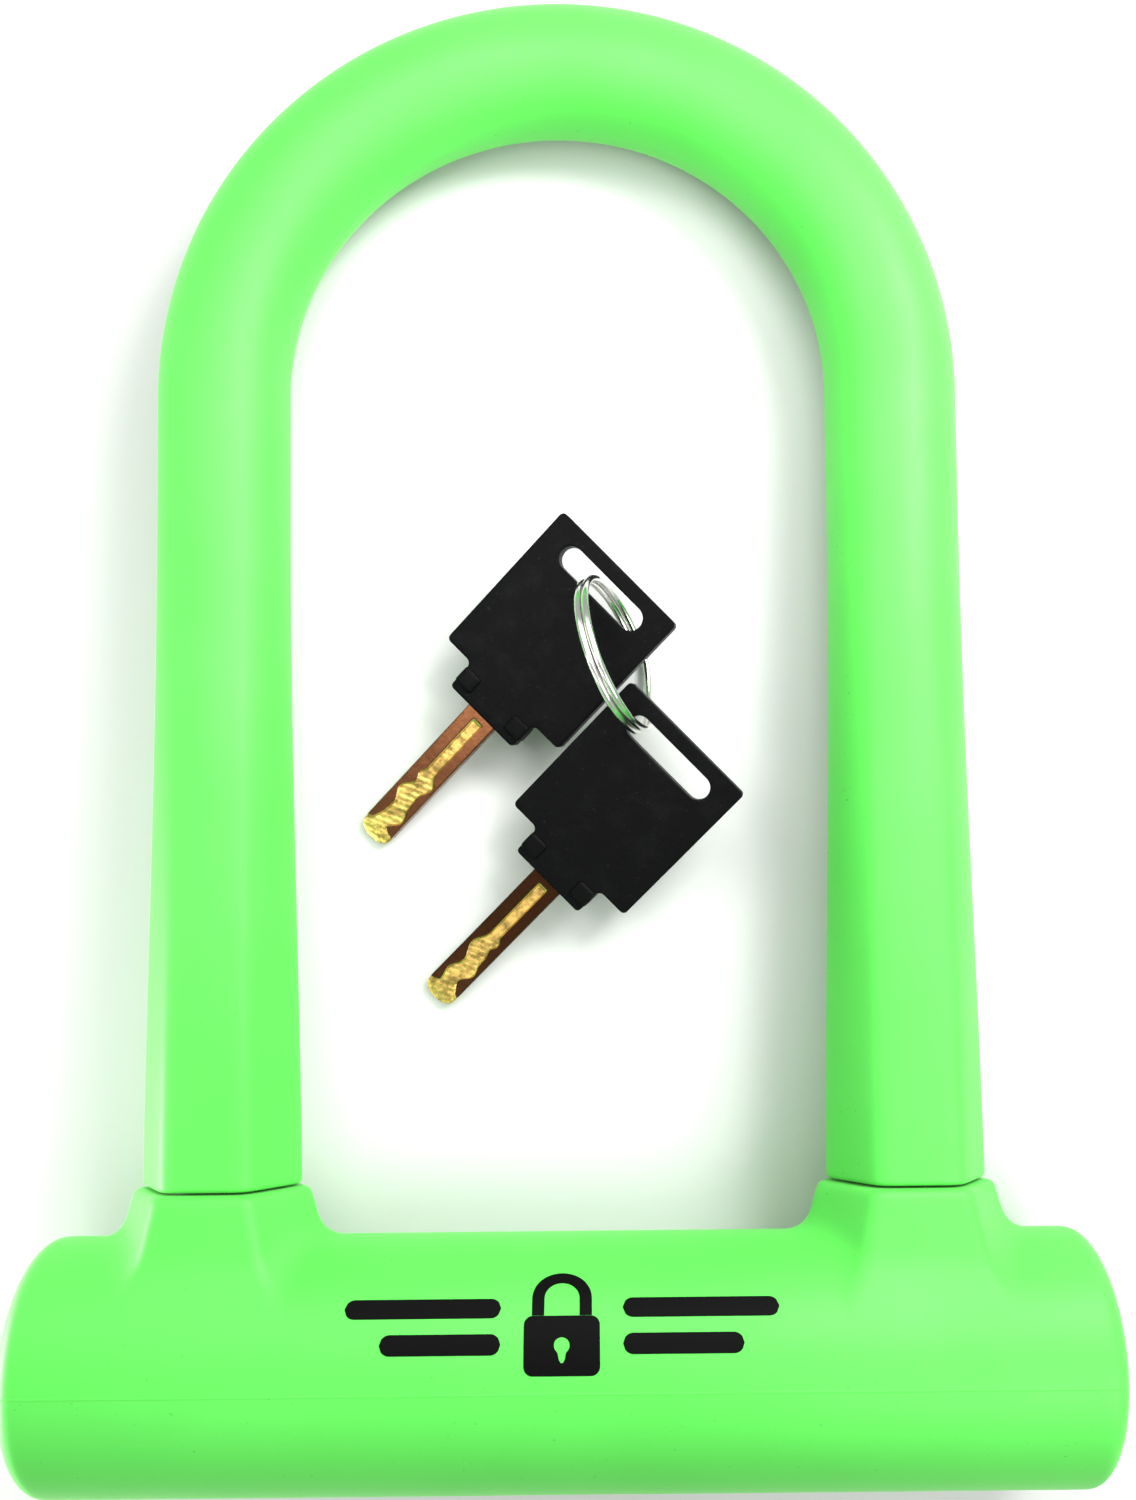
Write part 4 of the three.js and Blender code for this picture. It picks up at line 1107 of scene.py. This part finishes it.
class ULOCK_OT_crossbar(bpy.types.Operator):
    """Rubber skin of the crossbar with its collars, and the printed mark"""
    bl_idname = "ulock.crossbar"
    bl_label = "Crossbar skin"

    def execute(self, context):
        sizes = context.scene.ulock_body
        skin = build_crossbar_skin(sizes)
        add_piece("crossbar_skin", skin, "crossbar", "neon_rubber", ["crossbar_sleeve"])
        add_piece("printed_mark", build_printed_mark(sizes), "crossbar", "print_ink")
        return {"FINISHED"}


class ULOCK_OT_shackle(bpy.types.Operator):
    """Rubber skin and notched steel of the shackle"""
    bl_idname = "ulock.shackle"
    bl_label = "Shackle"

    def execute(self, context):
        sizes = context.scene.ulock_body
        add_piece("shackle_skin", build_shackle_skin(sizes), "shackle", "neon_rubber", ["shackle_sleeve"])
        add_piece("shackle_steel", build_shackle_rod(sizes), "shackle", "hard_steel", ["shackle_rod"])
        return {"FINISHED"}


class ULOCK_OT_keyhole(bpy.types.Operator):
    """Bezel round the keyhole, its dust cover and the rivet"""
    bl_idname = "ulock.keyhole"
    bl_label = "Keyhole"

    def execute(self, context):
        trim = build_bezel(context.scene.ulock_body)
        add_piece("keyhole_bezel_trim", trim, "crossbar", "dark_steel", ["keyhole_bezel"])
        add_piece("dust_cover_plate", build_dust_cover(), "cover", "dark_steel", ["dust_cover"])
        add_piece("dust_cover_rivet", build_cover_rivet(), "crossbar", "hard_steel", ["dust_cover_pin"])
        return {"FINISHED"}


class ULOCK_OT_keys(bpy.types.Operator):
    """Both keys: moulded heads and milled blades"""
    bl_idname = "ulock.keys"
    bl_label = "Keys"

    def execute(self, context):
        sizes = context.scene.ulock_keys
        pair = (("key_1", -1, sizes.first_shift, 0.4, "blade_bronze"),
                ("key_2", 1, sizes.second_shift, 2.3, "blade_dark"))
        for name, sign, shift, phase, look in pair:
            placement = key_placement(f"{name}_swing", sign, shift)
            grip = build_key_head(sizes, placement)
            add_piece(f"{name}_grip", grip, name, "black_plastic", [f"{name}_head"])
            add_piece(f"{name}_bit", build_key_blade(sizes, placement, phase), name, "blade_bronze",
                      [f"{name}_blade"], BLADE_SHARP_DEGREES, look)
        return {"FINISHED"}


class ULOCK_OT_ring(bpy.types.Operator):
    """Split ring of two turns of wire"""
    bl_idname = "ulock.ring"
    bl_label = "Split ring"

    def execute(self, context):
        add_piece("ring_wire", build_ring(context.scene.ulock_keys), "ring", "bright_wire", ["split_ring"])
        return {"FINISHED"}


class ULOCK_OT_inner_parts(bpy.types.Operator):
    """Finishes for the steel, zinc and brass parts inside the crossbar"""
    bl_idname = "ulock.inner_parts"
    bl_label = "Inner parts"

    def execute(self, _context):
        slots = {entry["node"]: entry["material_slot"] for entry in frame["record"]["subparts"]}
        for name, node in frame["nodes"].items():
            node.data.materials.clear()
            node.data.materials.append(finish(slots[name]))
        return {"FINISHED"}


CAMERA_FOOT = (5.6 * MM, 56.0 * MM)  # from the bar axis
CAMERA_HEIGHT = 200.3 * MM
CAMERA_ROLL = 0.0105
FOCAL_PER_LONG_SIDE = 1402 / 1500
SENSOR = 36.0
SHIFT_X, SHIFT_Y = -0.024, 0.1213
CLIP = (0.005, 20)  # nearest and furthest thing that the camera shows
FLOOR_HALF_SIDE = 1.5
WORLD_STRENGTH = 0.5
LIGHTS = {  # place, target, size across and along, power in watts
    "key_top_right": ((0.16, 0.14, 0.20), (0.0, 0.0, 0.01), (0.12, 0.12), 1.0),
    "key_low_right": ((0.16, -0.12, 0.20), (0.0, 0.0, 0.01), (0.12, 0.12), 0.36),
    "key_top_left": ((-0.16, 0.14, 0.20), (0.0, 0.0, 0.01), (0.12, 0.12), 0.1),
    "low_left_strip": ((-0.19, -0.09, 0.022), (0.0, -0.08, 0.012), (0.10, 0.03), 0.45),
    "over_bend": ((0.0, 0.11, 0.14), (0.0, 0.10, 0.0), (0.10, 0.05), 0.1),
    "over_left_leg": ((-0.05, 0.03, 0.14), (-0.05, 0.03, 0.0), (0.06, 0.10), 0.08),
    "over_right_leg": ((0.05, 0.03, 0.14), (0.05, 0.03, 0.0), (0.06, 0.10), 0.05),
    "over_bar": ((-0.08, -0.12, 0.14), (-0.05, -0.08, 0.0), (0.08, 0.06), 0.03),
}


def add_light(name, place, target, size, power):
    data = bpy.data.lights.new(name, "AREA")
    data.shape = "RECTANGLE"
    data.size, data.size_y = size
    data.energy = power
    light = bpy.data.objects.new(name, data)
    light.location = place
    direction = [there - here for here, there in zip(place, target)]
    light.rotation_euler = Vector(direction).to_track_quat("-Z", "Y").to_euler()
    light.visible_camera = False
    bpy.context.scene.collection.objects.link(light)


def add_floor(scene):
    half = FLOOR_HALF_SIDE
    mesh = bpy.data.meshes.new("floor")
    corners = [(-half, -half, 0), (half, -half, 0), (half, half, 0), (-half, half, 0)]
    mesh.from_pydata(corners, [], [(0, 1, 2, 3)])
    floor = bpy.data.objects.new("floor", mesh)
    scene.collection.objects.link(floor)
    make = Maker("floor")
    grain = make.noise(700, 3.0)
    pale = tuple(scene.ulock_colours.floor)
    mesh.materials.append(make.surface(
        Base_Color=make.mix(grain * 0.4, pale, darker(pale, 0.97)), Roughness=0.8))


def add_world(scene):
    world = bpy.data.worlds.new("world")
    world.use_nodes = True
    background = world.node_tree.nodes["Background"]
    background.inputs["Color"].default_value = (1, 1, 1, 1)
    background.inputs["Strength"].default_value = WORLD_STRENGTH
    scene.world = world


def add_camera(scene):
    """Looks straight down at the lock; it stands beside the bar's axis, towards the bend."""
    data = bpy.data.cameras.new("camera")
    data.sensor_width = SENSOR
    data.lens = FOCAL_PER_LONG_SIDE * SENSOR
    data.shift_x, data.shift_y = SHIFT_X, SHIFT_Y
    data.clip_start, data.clip_end = CLIP
    camera = bpy.data.objects.new("camera", data)
    bar = PLUG["pos_m"]
    camera.location = (bar[0] + CAMERA_FOOT[0], bar[1] + CAMERA_FOOT[1], CAMERA_HEIGHT)
    camera.rotation_euler = (0, 0, -CAMERA_ROLL)
    scene.collection.objects.link(camera)
    scene.camera = camera


class ULOCK_OT_stage(bpy.types.Operator):
    """Pale floor, soft lights and the camera above the lock"""
    bl_idname = "ulock.stage"
    bl_label = "Stage"

    def execute(self, context):
        add_floor(context.scene)
        add_world(context.scene)
        for name, (place, target, size, power) in LIGHTS.items():
            add_light(name, place, target, size, power)
        add_camera(context.scene)
        context.scene.view_settings.view_transform = "Standard"
        return {"FINISHED"}


class ULOCK_PT_panel(bpy.types.Panel):
    """Lists the pieces of the lock"""
    bl_label = "U-lock"
    bl_idname = "ULOCK_PT_panel"
    bl_space_type = "VIEW_3D"
    bl_region_type = "UI"
    bl_category = "U-lock"

    def draw(self, context):
        for operator in OPERATORS:
            self.layout.operator(operator.bl_idname)
        for group in (context.scene.ulock_body, context.scene.ulock_keys, context.scene.ulock_colours):
            box = self.layout.box()
            for name in group.bl_rna.properties.keys():
                if name not in {"rna_type", "name"}:
                    box.prop(group, name)


OPERATORS = (
    ULOCK_OT_stage, ULOCK_OT_inner_parts, ULOCK_OT_crossbar, ULOCK_OT_shackle,
    ULOCK_OT_keyhole, ULOCK_OT_keys, ULOCK_OT_ring,
)
GROUPS = {"ulock_body": UlockBodySizes, "ulock_keys": UlockKeySizes, "ulock_colours": UlockColours}


def register():
    for group in GROUPS.values():
        bpy.utils.register_class(group)
    for name, group in GROUPS.items():
        setattr(bpy.types.Scene, name, bpy.props.PointerProperty(type=group))
    for operator in OPERATORS:
        bpy.utils.register_class(operator)
    bpy.utils.register_class(ULOCK_PT_panel)


def unregister():
    bpy.utils.unregister_class(ULOCK_PT_panel)
    for operator in reversed(OPERATORS):
        bpy.utils.unregister_class(operator)
    for name, group in GROUPS.items():
        delattr(bpy.types.Scene, name)
        bpy.utils.unregister_class(group)


def main():
    register()
    bpy.ops.ulock.stage()
    bpy.ops.ulock.inner_parts()
    bpy.ops.ulock.crossbar()
    bpy.ops.ulock.shackle()
    bpy.ops.ulock.keyhole()
    bpy.ops.ulock.keys()
    bpy.ops.ulock.ring()


if __name__ == "__main__":
    main()
